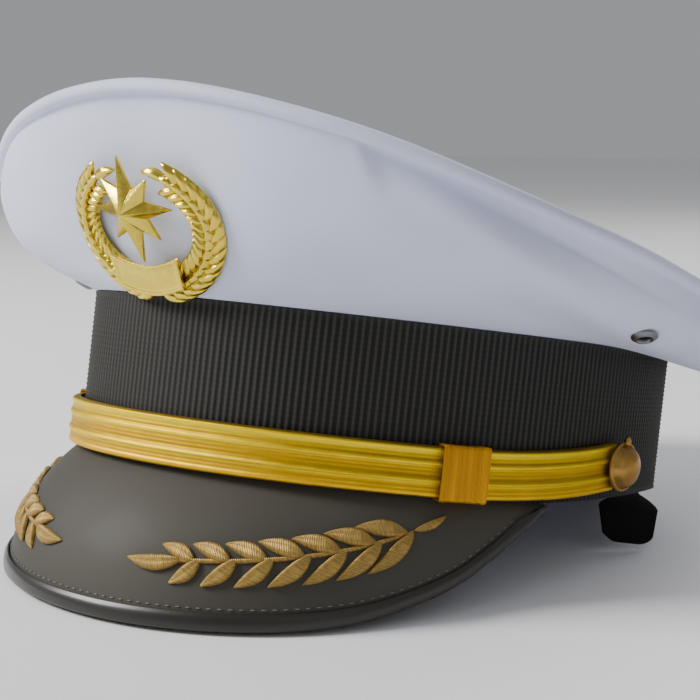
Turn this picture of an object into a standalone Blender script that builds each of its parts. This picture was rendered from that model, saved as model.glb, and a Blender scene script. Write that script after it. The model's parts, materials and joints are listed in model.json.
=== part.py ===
"""Peaked sailor cap at its real size, in metres, +Z up.

The cap is drawn as it is worn: the band's lower edge lies in the plane z = 0, the front
faces -Y and the wearer's left is +X. A place round the cap is an angle from the front
centre towards the wearer's left. The empty cap_rest then leans the cap back onto the
peak's edge and the band's back edge, which is how it rests by itself.
"""

import math
from collections import namedtuple

import bmesh
import bpy
import numpy as np
from mathutils import Matrix, Vector

MM = 0.001
GAP = 0.3 * MM  # clearance between pieces that touch
MERGE = 0.001 * MM  # points closer than this are one point

# Band: an oval ring of black ribbed webbing round the head
BAND_LENGTH = 206 * MM
BAND_WIDTH = 176 * MM
BAND_HEIGHT = 47.3 * MM
BAND_WALL = 2.0 * MM
BAND_ARCH = 4 * MM  # how far its lower edge rises at each side
BAND_ARCH_FROM = 61
BAND_ARCH_TO = 165

# Crown: white cloth wall and top, joined in a rolled rim
CROWN_LENGTH = 257 * MM
CROWN_WIDTH = 244 * MM
CROWN_BACKWARD = 3.5 * MM  # the crown's middle lies this far behind the band's
CROWN_RISE = 56 * MM  # from the band's top edge to the rim, at the front
CROWN_CLOTH = 1.2 * MM
CROWN_TUCK = 9 * MM  # the wall's foot goes down inside the band
CROWN_DOME = 3 * MM  # the top's middle lies this far above a flat drum skin
RIM_ROLL = 4.2 * MM

# Peak: stiff leather, rounded down from the band's front
PEAK_REACH = 21 * MM
PEAK_DROP = 41 * MM
PEAK_LEATHER = 1.6 * MM
PEAK_BULGE = 0.13  # the section's swell, as a share of its chord
PEAK_HALF_ANGLE = 74
BINDING_LEATHER = 0.8 * MM
BINDING_DEPTH = 4.6 * MM
BINDING_CLEARANCE = 0.5 * MM  # round the peak's bent edge
BINDING_HALF_ANGLE = 70

# Strap of gold braid over the band's front, with its keepers and buttons
STRAP_WIDTH = 14.2 * MM
STRAP_THICKNESS = 2.0 * MM
STRAP_RIDGE = 0.5 * MM
STRAP_FOOT = 0.4 * MM  # the strap's lower edge above the band's
STRAP_LIFT = 5.0 * MM  # how far the strap's ends climb to the buttons
STRAP_LIFT_ANGLE = 55
KEEPER_LENGTH = 13.5 * MM
KEEPER_WALL = 0.7 * MM
KEEPER_ANGLE = 56.6
BUTTON_DIAMETER = 15 * MM
BUTTON_DOME = 4 * MM
BUTTON_EDGE = 1.2 * MM
BUTTON_SHANK = 4 * MM
BUTTON_ANGLE = 90

# Eyelets low on the crown wall, at the sides
EYELET_DIAMETER = 7.5 * MM
EYELET_HOLE = 3.4 * MM
EYELET_LIP = 0.9 * MM
EYELET_WALL = 0.6 * MM
EYELET_ANGLE = 73
EYELET_HEIGHT = 0.52  # share of the wall's section, from the band to the rim

# Badge on the crown's front, drawn flat in its own plane: across, up and out
BADGE_WIDTH = 55 * MM
BADGE_HEIGHT = 42 * MM
BADGE_CURVE = 150 * MM  # the badge is bent round the crown's front at this radius
BADGE_PLATE = 1.4 * MM
BADGE_RIDGE = 0.8 * MM
BADGE_LEAN = 7  # degrees by which the badge leans out further than the wall behind it
BADGE_STEM = 1.8 * MM
BADGE_LEAF = 8.5 * MM
WREATH_HALF_ANGLE = 142
BADGE_SEAT = 0.42  # share of the wall's front section where the badge's middle lies
STAR_HEIGHT = 31 * MM
STAR_WIDTH = 31 * MM
STAR_RISE = 4.5 * MM
STAR_EDGE = 0.8 * MM
STAR_OFFSET = 6.5 * MM  # the star's middle above the badge's
SCROLL_WIDTH = 26 * MM
SCROLL_HEIGHT = 9 * MM
SCROLL_PLATE = 1.2 * MM
SCROLL_FOOT = 5 * MM  # from the badge's foot up to the scroll's ends
SCROLL_SAG = 2.5 * MM

# Embroidered branches on the peak
LAUREL_RELIEF = 0.9 * MM
LAUREL_RIDGE = 0.5 * MM
LAUREL_STEM = 1.8 * MM
LAUREL_PAIRS = 7
LAUREL_LEAF = 10.8 * MM
LAUREL_LEAF_WIDTH = 4.2 * MM

# Cloth tab that hangs from inside the band, behind the wearer's left button
TAB_WIDTH = 21 * MM
TAB_HANG = 16.4 * MM
TAB_CLOTH = 1.6 * MM
TAB_TOP = 6 * MM  # how far it goes up inside the band
TAB_ANGLE = 104
TAB_TURN = 62  # degrees by which the tab's free end turns forward
TAB_TURN_FROM = 1.2 * MM  # the turn starts this far below the band
TAB_TURN_DEPTH = 4 * MM  # and is complete in this much more
TAB_LEAN = 1.5 * MM  # how far its free end leans backward
TAB_TAPER = 0.25  # share of its width that the tab loses at its free end

# Mesh fineness
AROUND = 56
WALL_ROWS = 9
TOP_RINGS = 5
TOP_MIDDLE = 0.06  # share of the top's width that one face closes
PEAK_ROWS = 6
PEAK_STEP = 4  # degrees between columns of the peak and its binding
STRAP_COLUMNS = 38

# The rim round the crown. Swell widens the oval plan, and rise is a share of CROWN_RISE.
RimRow = namedtuple("RimRow", "angle swell rise")
RIM = (
    RimRow(0, 0.995, 1.00),
    RimRow(30, 1.030, 0.87),
    RimRow(60, 1.075, 0.55),
    RimRow(90, 1.020, 0.29),
    RimRow(120, 0.985, 0.23),
    RimRow(150, 0.985, 0.32),
    RimRow(180, 1.000, 0.39),
)

# The crown wall's sections, from the band's top edge to the rim. Out is a share of the
# way out to the rim, and up is a share of CROWN_RISE.
WallRow = namedtuple("WallRow", "angle low_out low_up mid_out mid_up high_out high_up")
WALL = (
    WallRow(0, 0.16, 0.11, 0.51, 0.45, 0.81, 0.76),
    WallRow(25, 0.25, 0.09, 0.65, 0.33, 0.91, 0.64),
    WallRow(50, 0.37, 0.08, 0.81, 0.26, 1.01, 0.50),
    WallRow(70, 0.34, 0.02, 0.74, 0.10, 0.99, 0.28),
    WallRow(90, 0.31, -0.04, 0.72, -0.05, 1.00, 0.10),
    WallRow(120, 0.31, -0.06, 0.74, -0.07, 1.02, 0.07),
    WallRow(150, 0.30, -0.02, 0.72, 0.04, 0.98, 0.18),
    WallRow(180, 0.28, 0.03, 0.67, 0.12, 0.95, 0.26),
)

# The peak's edge. Reach is a share of PEAK_REACH, drop a share of the way down to the
# plane that the cap rests on.
PeakRow = namedtuple("PeakRow", "angle reach drop")
PEAK = (
    PeakRow(0, 1.00, 1.00),
    PeakRow(15, 0.98, 1.00),
    PeakRow(30, 0.88, 1.00),
    PeakRow(40, 0.72, 0.98),
    PeakRow(48, 0.54, 0.91),
    PeakRow(56, 0.38, 0.77),
    PeakRow(62, 0.27, 0.57),
    PeakRow(68, 0.19, 0.32),
    PeakRow(74, 0.15, 0.14),
)

# The stem of the branch on the wearer's left, as angles round the peak and shares of
# the way down it, from the bud to the inmost leaf
StemRow = namedtuple("StemRow", "angle down")
LAUREL_ROUTE = (
    StemRow(55, 0.18),
    StemRow(47, 0.37),
    StemRow(36, 0.50),
    StemRow(23, 0.58),
    StemRow(7, 0.63),
)


def through(rows, at):
    """Smooth values of a table's other columns at a value of its first column."""
    table = np.array(rows, dtype=float)
    x, y = table[:, 0], table[:, 1:]
    slope = np.zeros_like(y)
    slope[1:-1] = (y[2:] - y[:-2]) / (x[2:] - x[:-2])[:, None]
    k = int(np.clip(np.searchsorted(x, at) - 1, 0, len(x) - 2))
    span = x[k + 1] - x[k]
    f = (at - x[k]) / span
    return (
        (2 * f**3 - 3 * f**2 + 1) * y[k]
        + (f**3 - 2 * f**2 + f) * span * slope[k]
        + (3 * f**2 - 2 * f**3) * y[k + 1]
        + (f**3 - f**2) * span * slope[k + 1]
    )


def curve_through(points, share):
    """A smooth curve through a few points, at a share of the way along them."""
    rows = [(k, *p) for k, p in enumerate(points)]
    return through(rows, share * (len(rows) - 1))


def folded(angle):
    """The angle from the front centre, the same on both sides."""
    return abs((angle + 180) % 360 - 180)


def band_point(angle, out=0.0, z=0.0):
    """A point at a distance out from the band's outer face."""
    a = math.radians(angle)
    half_x, half_y = BAND_WIDTH / 2, BAND_LENGTH / 2
    normal = band_normal(angle)
    on_band = Vector((half_x * math.sin(a), -half_y * math.cos(a), z))
    return on_band + normal * out


def band_foot(angle):
    """The height of the band's lower edge, which arches up a little at each side."""
    share = (folded(angle) - BAND_ARCH_FROM) / (BAND_ARCH_TO - BAND_ARCH_FROM)
    return BAND_ARCH * math.sin(math.pi * min(1.0, max(0.0, share))) ** 2


def band_normal(angle):
    a = math.radians(angle)
    return Vector((BAND_LENGTH * math.sin(a), -BAND_WIDTH * math.cos(a), 0)).normalized()


def rim_point(angle):
    """The middle of the rolled rim."""
    a = math.radians(angle)
    swell, rise = through(RIM, folded(angle))
    return Vector((
        swell * CROWN_WIDTH / 2 * math.sin(a),
        CROWN_BACKWARD - swell * CROWN_LENGTH / 2 * math.cos(a),
        BAND_HEIGHT + CROWN_RISE * rise,
    ))


def wall_point(angle, share):
    """A point of the crown wall's outer face, from the band's top edge to the rim."""
    row = WallRow(folded(angle), *through(WALL, folded(angle)))
    foot = band_point(angle, GAP, BAND_HEIGHT + GAP)
    rim = rim_point(angle)
    stations = [foot]
    for out, up in ((row.low_out, row.low_up), (row.mid_out, row.mid_up), (row.high_out, row.high_up)):
        station = foot.lerp(rim, out)
        station.z = foot.z + CROWN_RISE * up
        stations.append(station)
    below_rim = (stations[-1] - rim).normalized() * (RIM_ROLL / 2 + GAP)
    stations.append(rim + below_rim)
    return Vector(curve_through(stations, share))


def wall_normal(angle, share, step=0.01):
    along = wall_point(angle + 1, share) - wall_point(angle - 1, share)
    up = wall_point(angle, share + step) - wall_point(angle, share - step)
    return along.cross(up).normalized()


def rest_slope():
    """The slope of the plane under the band's back edge and the peak's edge."""
    return PEAK_DROP / (BAND_LENGTH + PEAK_REACH)


def peak_edge(angle):
    reach, drop = through(PEAK, folded(angle))
    edge = band_point(angle, PEAK_REACH * reach)
    edge.z = -rest_slope() * (BAND_LENGTH / 2 - edge.y) * drop
    return edge


def peak_section(angle):
    """The upper end, the edge and the swell of the peak's section at an angle."""
    top = band_point(angle, 0, band_foot(angle) - GAP)
    edge = peak_edge(angle)
    chord = edge - top
    sideways = chord.cross(Vector((0, 0, 1))).normalized()
    swell = sideways.cross(chord) * 4 * PEAK_BULGE
    return top, chord, swell


def peak_point(angle, share, height=0.0):
    """A point at a height above the peak's upper face, a share of the way down it."""
    top, chord, swell = peak_section(angle)
    point = top + chord * share + swell * share * (1 - share)
    if height:
        point += peak_normal(angle, share) * height
    return point


def peak_normal(angle, share):
    top, chord, swell = peak_section(angle)
    down = chord + swell * (1 - 2 * share)
    along = peak_point(angle + 0.5, share) - peak_point(angle - 0.5, share)
    return down.cross(along).normalized()


def peak_angles(half):
    """The angles of the columns that the peak and its binding share, side to side."""
    steps = set(range(0, 90, PEAK_STEP)) | {BINDING_HALF_ANGLE, half}
    side = sorted(step for step in steps if 0 < step <= half)
    return [-step for step in reversed(side)] + [0] + side


def clear_scene():
    for thing in list(bpy.data.objects):
        bpy.data.objects.remove(thing, do_unlink=True)


def finish(name, colour, roughness, metallic=0.0):
    """A plain material in one colour."""
    material = bpy.data.materials.new(name)
    material.use_nodes = True
    shader = material.node_tree.nodes["Principled BSDF"]
    shader.inputs["Base Color"].default_value = (*colour, 1.0)
    shader.inputs["Roughness"].default_value = roughness
    shader.inputs["Metallic"].default_value = metallic
    return material


def finishes():
    return {
        "white_cloth": finish("white_cloth", (0.80, 0.81, 0.86), 0.8),
        "black_webbing": finish("black_webbing", (0.012, 0.012, 0.011), 0.7),
        "black_leather": finish("black_leather", (0.03, 0.03, 0.028), 0.3),
        "gold_braid": finish("gold_braid", (0.75, 0.48, 0.05), 0.4),
        "gold_thread": finish("gold_thread", (0.55, 0.38, 0.12), 0.6),
        "gilt": finish("gilt", (0.85, 0.65, 0.25), 0.25, 1.0),
        "steel": finish("steel", (0.6, 0.6, 0.6), 0.35, 1.0),
    }


def add_piece(name, bm, material, holder):
    """Turns a bmesh into a named object on the cap."""
    bm.normal_update()
    bmesh.ops.recalc_face_normals(bm, faces=bm.faces)
    mesh = bpy.data.meshes.new(name)
    bm.to_mesh(mesh)
    bm.free()
    mesh.materials.append(material)
    mesh.shade_smooth()
    mesh.set_sharp_from_angle(angle=math.radians(40))
    piece = bpy.data.objects.new(name, mesh)
    bpy.context.scene.collection.objects.link(piece)
    piece.parent = holder
    return piece


def sheet(columns, rows, place, closed=False, round_section=False):
    """A grid laid through place(u, w), both from 0 to 1, with its ends joined if closed."""
    bm = bmesh.new()
    bmesh.ops.create_grid(bm, x_segments=columns, y_segments=rows, size=0.5)
    for vert in bm.verts:
        vert.co = place(vert.co.x + 0.5, vert.co.y + 0.5)
    if closed or round_section:
        bmesh.ops.remove_doubles(bm, verts=bm.verts, dist=MERGE)
    return bm


def fill_ends(bm):
    """Closes the open ends of a swept section."""
    loose = [e for e in bm.edges if e.is_boundary]
    if loose:
        bmesh.ops.holes_fill(bm, edges=loose, sides=0)


def thicken(bm, thickness):
    """Gives an open sheet a wall on its inner side."""
    bm.normal_update()
    bmesh.ops.solidify(bm, geom=bm.faces[:], thickness=thickness)


def swept(section, path, columns, closed):
    """Sweeps a closed outline of (out, up) points along path(u) = (origin, out, up)."""
    count = len(section)

    def place(u, w):
        out, up = section[round(w * count) % count]
        origin, out_axis, up_axis = path(u)
        return origin + out_axis * out + up_axis * up

    bm = sheet(columns, count, place, closed=closed, round_section=True)
    if not closed:
        fill_ends(bm)
    return bm


def round_outline(radius, sides):
    steps = [2 * math.pi * k / sides for k in range(sides)]
    return [(radius * math.cos(s), radius * math.sin(s)) for s in steps]


def make_band(materials, holder):
    def place(u, w):
        angle = 360 * u
        foot = band_foot(angle)
        outline = [(0, foot), (0, BAND_HEIGHT), (-BAND_WALL, BAND_HEIGHT), (-BAND_WALL, foot)]
        out, z = outline[round(w * len(outline)) % len(outline)]
        return band_point(angle, out, z)

    bm = sheet(AROUND, 4, place, closed=True, round_section=True)
    return add_piece("band", bm, materials["black_webbing"], holder)


def make_crown_wall(materials, holder):
    """The wall rises inside the band, goes over its top edge and out to the rim."""
    tuck = (BAND_HEIGHT - CROWN_TUCK, BAND_HEIGHT + GAP)

    def place(u, w):
        angle = 360 * u
        row = round(w * (WALL_ROWS + len(tuck)))
        if row < len(tuck):
            return band_point(angle, -BAND_WALL - GAP, tuck[row])
        return wall_point(angle, (row - len(tuck)) / WALL_ROWS)

    bm = sheet(AROUND, WALL_ROWS + len(tuck), place, closed=True)
    thicken(bm, CROWN_CLOTH)
    wall = add_piece("crown_wall", bm, materials["white_cloth"], holder)
    for side in (1, -1):
        cut_eyelet_hole(wall, side, holder)
    return wall


def eyelet_frame(side):
    """Stands an eyelet upright on the crown wall's face."""
    angle = side * EYELET_ANGLE
    out = wall_normal(angle, EYELET_HEIGHT)
    across = Vector((0, 0, 1)).cross(out).normalized()
    up = out.cross(across)
    turn = Matrix((across, up, out)).transposed().to_4x4()
    return Matrix.Translation(wall_point(angle, EYELET_HEIGHT)) @ turn


def cut_eyelet_hole(wall, side, holder):
    bm = bmesh.new()
    radius = EYELET_HOLE / 2 + EYELET_WALL + GAP
    bmesh.ops.create_cone(
        bm, cap_ends=True, segments=12, radius1=radius, radius2=radius, depth=8 * CROWN_CLOTH
    )
    bm.transform(eyelet_frame(side))
    cutter = add_piece(f"eyelet_cutter_{'left' if side > 0 else 'right'}", bm, wall.data.materials[0], holder)
    cutter.hide_render = True
    cutter.display_type = "WIRE"
    cut = wall.modifiers.new("eyelet_hole", "BOOLEAN")
    cut.operation = "DIFFERENCE"
    cut.solver = "EXACT"
    cut.object = cutter


def make_crown_rim(materials, holder):
    outline = round_outline(RIM_ROLL / 2, 8)

    def path(u):
        angle = 360 * u
        along = (rim_point(angle + 1) - rim_point(angle - 1)).normalized()
        out = along.cross(Vector((0, 0, 1))).normalized()
        return rim_point(angle), out, out.cross(along)

    return add_piece("crown_rim", swept(outline, path, AROUND, True), materials["white_cloth"], holder)


def make_crown_top(materials, holder):
    """The top hangs between the rim's heights as a stretched skin does."""
    angles = [360 * k / AROUND for k in range(AROUND)]
    heights = np.array([rim_point(angle).z for angle in angles])
    waves = np.fft.rfft(heights) / AROUND
    order = np.arange(len(waves))
    weight = np.where(order == 0, 1.0, 2.0)
    middle = Vector((0, CROWN_BACKWARD, 0))

    def place(u, w):
        angle = 360 * u
        share = 1 - w * (1 - TOP_MIDDLE)
        edge = rim_point(angle)
        inward = (middle - edge).to_2d().normalized().to_3d()
        edge = edge + inward * (RIM_ROLL / 2 + GAP)
        point = middle.lerp(edge, share)
        skin = (weight * share**order * waves * np.exp(1j * order * math.radians(angle))).real.sum()
        point.z = skin + CROWN_DOME * (1 - share**2)
        return point

    bm = sheet(AROUND, TOP_RINGS, place, closed=True)
    near = TOP_MIDDLE * CROWN_LENGTH
    inmost = [e for e in bm.edges if e.is_boundary and (e.verts[0].co - middle).to_2d().length < near]
    bmesh.ops.holes_fill(bm, edges=inmost, sides=0)
    thicken(bm, CROWN_CLOTH)
    return add_piece("crown_top", bm, materials["white_cloth"], holder)


def binding_reach(angle):
    """How far the binding reaches over the peak, less where the peak is short."""
    return min(BINDING_DEPTH, peak_section(angle)[1].length / 2)


def inset_point(angle, inset, height=0.0):
    """A point at a distance in from the binding's outer face, measured up the peak."""
    return peak_point(angle, 1 - inset / peak_section(angle)[1].length, height)


def make_peak(materials, holder):
    angles = peak_angles(PEAK_HALF_ANGLE)
    columns = len(angles) - 1

    def place(u, w):
        angle = -angles[round(u * columns)]
        row = round(w * PEAK_ROWS)
        if row == PEAK_ROWS:
            return inset_point(angle, BINDING_LEATHER + BINDING_CLEARANCE)
        under_binding = 1 - binding_reach(angle) / peak_section(angle)[1].length
        return peak_point(angle, under_binding * row / (PEAK_ROWS - 1))

    bm = sheet(columns, PEAK_ROWS, place)
    thicken(bm, PEAK_LEATHER)
    return add_piece("peak", bm, materials["black_leather"], holder)


def make_peak_binding(materials, holder):
    """A folded strip that grips the peak's edge."""
    wall = BINDING_LEATHER
    upper, lower = BINDING_CLEARANCE, -PEAK_LEATHER - BINDING_CLEARANCE
    angles = peak_angles(BINDING_HALF_ANGLE)
    columns = len(angles) - 1

    def outline(reach):
        bend = (reach + wall) / 2
        return [
            (reach, upper + wall * 0.6), (bend, upper + wall), (wall, upper + wall * 0.8), (0, -PEAK_LEATHER * 0.2),
            (0, -PEAK_LEATHER * 0.8), (wall, lower - wall * 0.8), (bend, lower - wall), (reach, lower - wall * 0.6),
            (reach, lower), (wall, lower), (wall, upper), (reach, upper),
        ]

    def place(u, w):
        angle = angles[round(u * columns)]
        section = outline(binding_reach(angle))
        inset, height = section[round(w * len(section)) % len(section)]
        return inset_point(angle, inset, height)

    bm = sheet(columns, 12, place, round_section=True)
    fill_ends(bm)
    return add_piece("peak_binding", bm, materials["black_leather"], holder)


def per_degree(angle):
    """How far one degree goes along the band."""
    return (band_point(angle + 0.5) - band_point(angle - 0.5)).length


def strap_back():
    """The strap lies on the backs of its keepers."""
    return GAP + KEEPER_WALL + GAP


def strap_foot(angle):
    """The height of the strap's lower edge, which climbs to the buttons."""
    climb = max(0.0, (abs(angle) - STRAP_LIFT_ANGLE) / (BUTTON_ANGLE - STRAP_LIFT_ANGLE))
    return STRAP_FOOT + STRAP_LIFT * climb**2


def button_height():
    return strap_foot(BUTTON_ANGLE) + STRAP_WIDTH / 2


def make_chin_strap(materials, holder):
    thick, wide = STRAP_THICKNESS, STRAP_WIDTH
    ridge = thick + STRAP_RIDGE
    outline = [
        (0, 0), (thick, wide * 0.04), (thick, wide * 0.27), (ridge, wide * 0.33), (thick, wide * 0.39),
        (thick, wide * 0.61), (ridge, wide * 0.67), (thick, wide * 0.73), (thick, wide * 0.96), (0, wide),
    ]
    end = BUTTON_ANGLE - (BUTTON_SHANK / 2 + GAP) / per_degree(BUTTON_ANGLE)

    def path(u):
        angle = end * (2 * u - 1)
        return band_point(angle, strap_back(), strap_foot(angle)), band_normal(angle), Vector((0, 0, 1))

    return add_piece("chin_strap", swept(outline, path, STRAP_COLUMNS, False), materials["gold_braid"], holder)


def make_strap_keeper(side, materials, holder):
    """A flat loop of braid round the strap."""
    inner_back, inner_front = strap_back() - GAP, strap_back() + STRAP_THICKNESS + STRAP_RIDGE + GAP
    half = KEEPER_LENGTH / 2 / per_degree(KEEPER_ANGLE)
    columns = 5

    outline = [
        (inner_back - KEEPER_WALL, -GAP - KEEPER_WALL),
        (inner_front + KEEPER_WALL * 0.7, -GAP - KEEPER_WALL),
        (inner_front + KEEPER_WALL, -GAP),
        (inner_front + KEEPER_WALL, STRAP_WIDTH + GAP),
        (inner_front + KEEPER_WALL * 0.7, STRAP_WIDTH + GAP + KEEPER_WALL),
        (inner_back - KEEPER_WALL, STRAP_WIDTH + GAP + KEEPER_WALL),
    ]
    inside = [
        (inner_back, -GAP), (inner_front, -GAP), (inner_front, STRAP_WIDTH + GAP), (inner_back, STRAP_WIDTH + GAP),
    ]
    bm = bmesh.new()
    rings = []
    for column in range(columns + 1):
        angle = side * (KEEPER_ANGLE + half * (2 * column / columns - 1))
        foot = strap_foot(angle)
        rings.append([
            [bm.verts.new(band_point(angle, out, foot + z)) for out, z in loop] for loop in (outline, inside)
        ])
    for first, second in zip(rings, rings[1:]):
        for loop_a, loop_b in zip(first, second):
            for k in range(len(loop_a)):
                n = (k + 1) % len(loop_a)
                bm.faces.new((loop_a[k], loop_a[n], loop_b[n], loop_b[k]))
    for end in (rings[0], rings[-1]):
        edges = [bm.edges.get((loop[k], loop[(k + 1) % len(loop)])) for loop in end for k in range(len(loop))]
        bmesh.ops.triangle_fill(bm, edges=edges, use_dissolve=False)
    return add_piece(f"strap_keeper_{side_name(side)}", bm, materials["gold_braid"], holder)


def side_name(side):
    return "left" if side > 0 else "right"


def lathe(profile, sides):
    """Turns a profile of (radius, height) points into a round piece about Z."""
    bm = bmesh.new()
    verts = [bm.verts.new((radius, 0, height)) for radius, height in profile]
    edges = [bm.edges.new(pair) for pair in zip(verts, verts[1:])]
    if profile[0][0] and profile[-1][0]:
        edges.append(bm.edges.new((verts[-1], verts[0])))
    bmesh.ops.spin(
        bm, geom=verts + edges, axis=(0, 0, 1), cent=(0, 0, 0), angle=2 * math.pi, steps=sides, use_merge=True
    )
    bmesh.ops.remove_doubles(bm, verts=bm.verts, dist=MERGE)
    return bm


def standing(origin, out):
    """A matrix that stands a turned piece on a face, its axis along out."""
    across = Vector((0, 0, 1)).cross(out).normalized()
    turn = Matrix((across, out.cross(across), out)).transposed().to_4x4()
    return Matrix.Translation(origin) @ turn


def make_side_button(side, materials, holder):
    """A domed button on a shank that reaches the band beside the strap's end."""
    radius, shank = BUTTON_DIAMETER / 2, BUTTON_SHANK / 2
    under = strap_back() + STRAP_THICKNESS + STRAP_RIDGE + GAP
    edge = under + BUTTON_EDGE
    profile = [
        (0, GAP), (shank, GAP), (shank, under), (radius * 0.94, under), (radius, under + BUTTON_EDGE / 2),
        (radius * 0.94, edge), (radius * 0.82, edge), (radius * 0.6, edge + BUTTON_DOME * 0.6),
        (radius * 0.3, edge + BUTTON_DOME * 0.92), (0, edge + BUTTON_DOME),
    ]
    bm = lathe(profile, 14)
    angle = side * BUTTON_ANGLE
    bm.transform(standing(band_point(angle, 0, button_height()), band_normal(angle)))
    return add_piece(f"side_button_{side_name(side)}", bm, materials["gilt"], holder)


def make_vent_eyelet(side, materials, holder):
    hole, barrel, rim = EYELET_HOLE / 2, EYELET_HOLE / 2 + EYELET_WALL, EYELET_DIAMETER / 2
    seat = 1.5 * GAP
    deep = -2 * CROWN_CLOTH
    profile = [
        (hole, deep), (hole, seat + EYELET_LIP * 0.7), ((hole + rim) / 2, seat + EYELET_LIP),
        (rim, seat + EYELET_LIP * 0.3), (rim, seat), (barrel, seat), (barrel, deep),
    ]
    bm = lathe(profile, 14)
    bm.transform(eyelet_frame(side))
    return add_piece(f"vent_eyelet_{side_name(side)}", bm, materials["steel"], holder)


Leaf = namedtuple("Leaf", "at side ahead length width angle")


def add_leaf(bm, base, leaf, ridge, blades):
    """Grows a leaf from an edge of the stem. Flat points hold (along, across, ridge)."""
    start = (base[0].co + base[1].co) / 2
    lean = math.radians(leaf.angle)
    axis = Vector((leaf.ahead * math.cos(lean), leaf.side * math.sin(lean), 0))
    cross = Vector((-axis.y, axis.x, 0))
    if cross.dot(base[1].co - base[0].co) < 0:
        base = (base[1], base[0])
    start.z = 0
    row = [base[0], base[1]]
    for share, width in blades:
        middle = start + axis * leaf.length * share
        half = cross * leaf.width / 2 * width
        left, mid, right = (bm.verts.new(middle - half), bm.verts.new(middle), bm.verts.new(middle + half))
        mid.co.z = ridge
        if len(row) == 2:
            bm.faces.new((row[0], row[1], mid))
            bm.faces.new((row[0], mid, left))
            bm.faces.new((row[1], right, mid))
        else:
            bm.faces.new((row[0], row[1], mid, left))
            bm.faces.new((row[1], row[2], right, mid))
        row = [left, mid, right]
    tip = bm.verts.new(start + axis * leaf.length)
    bm.faces.new((row[0], row[1], tip))
    bm.faces.new((row[1], row[2], tip))


def sprig(stem_width, stem_from, stem_to, leaves, end_leaves, ridge, blades):
    """A flat stem with leaves, as one sheet in (along, across) coordinates."""
    bm = bmesh.new()
    marks = sorted({stem_from, stem_to, *(leaf.at[0] for leaf in leaves), *(leaf.at[1] for leaf in leaves)})
    half = stem_width / 2
    pairs = [(bm.verts.new((s, -half, ridge * 0.5)), bm.verts.new((s, half, ridge * 0.5))) for s in marks]
    place = dict(zip(marks, pairs))
    for (a, b), (c, d) in zip(pairs, pairs[1:]):
        bm.faces.new((a, c, d, b))
    for leaf in leaves:
        first, second = place[leaf.at[0]], place[leaf.at[1]]
        row = 1 if leaf.side > 0 else 0
        add_leaf(bm, (first[row], second[row]), leaf, ridge, blades)
    for leaf in end_leaves:
        add_leaf(bm, place[leaf.at[0]], leaf, ridge, blades)
    return bm


def raise_sprig(bm, place, relief):
    """Gives a flat sprig its thickness and lays it through place(along, across, height)."""
    bmesh.ops.recalc_face_normals(bm, faces=bm.faces)
    lower = bm.verts[:]
    grown = bmesh.ops.extrude_face_region(bm, geom=bm.faces[:])
    upper = [g for g in grown["geom"] if isinstance(g, bmesh.types.BMVert)]
    for vert in lower:
        vert.co = place(vert.co.x, vert.co.y, 0)
    for vert in upper:
        vert.co = place(vert.co.x, vert.co.y, relief + vert.co.z)
    return bm


BLADES_LONG = ((0.36, 0.85), (0.66, 1.0))
BLADES_SHORT = ((0.5, 1.0),)


def laurel_marks(steps=40):
    """Distances along the branch's route, and the angle and share down at each."""
    route = [curve_through(LAUREL_ROUTE, k / steps) for k in range(steps + 1)]
    points = [peak_point(angle, down) for angle, down in route]
    gone = np.cumsum([0.0] + [(b - a).length for a, b in zip(points, points[1:])])
    return gone, np.array(route)


def make_laurel(side, materials, holder):
    gone, route = laurel_marks()
    length = gone[-1]

    def on_route(along):
        return [float(np.interp(along, gone, column)) for column in route.T]

    def place(along, across, height):
        angle, down = on_route(along)
        here = peak_point(angle, down)
        step = 0.01 * length
        ahead, behind = on_route(min(along + step, length)), on_route(max(along - step, 0))
        tangent = (peak_point(*ahead) - peak_point(*behind)).normalized()
        sideways = peak_normal(angle, down).cross(tangent)
        around = peak_point(angle + 1, down) - here
        downward = (peak_point(angle, down + 0.05) - here) / 0.05
        angle += sideways.dot(around) / around.length_squared * across
        down += sideways.dot(downward) / downward.length_squared * across
        point = peak_point(angle, down, GAP + height)
        point.x *= side
        return point

    leaf, bud = LAUREL_LEAF, LAUREL_LEAF * 1.05
    stem_from, stem_to = bud, length - leaf
    last = LAUREL_PAIRS - 1
    leaves = []
    for k in range(LAUREL_PAIRS):
        f = k / last
        start = stem_from + (stem_to - stem_from) * (0.08 + 0.75 * f * (1.25 - 0.25 * f))
        at = (start, start + LAUREL_STEM * 1.2)
        size = leaf * (1.2 - 0.35 * f)
        leaves.append(Leaf(at, 1, 1, size, LAUREL_LEAF_WIDTH, 40))
        leaves.append(Leaf(at, -1, 1, size, LAUREL_LEAF_WIDTH, 32))
    ends = [
        Leaf((stem_to,), 1, 1, leaf, LAUREL_LEAF_WIDTH, 0),
        Leaf((stem_from,), 1, -1, bud, LAUREL_LEAF_WIDTH * 0.7, 0),
    ]
    bm = sprig(LAUREL_STEM, stem_from, stem_to, leaves, ends, LAUREL_RIDGE, BLADES_LONG)
    raise_sprig(bm, place, LAUREL_RELIEF)
    return add_piece(f"laurel_{side_name(side)}", bm, materials["gold_thread"], holder)


BadgeLie = namedtuple("BadgeLie", "middle up out")


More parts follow.
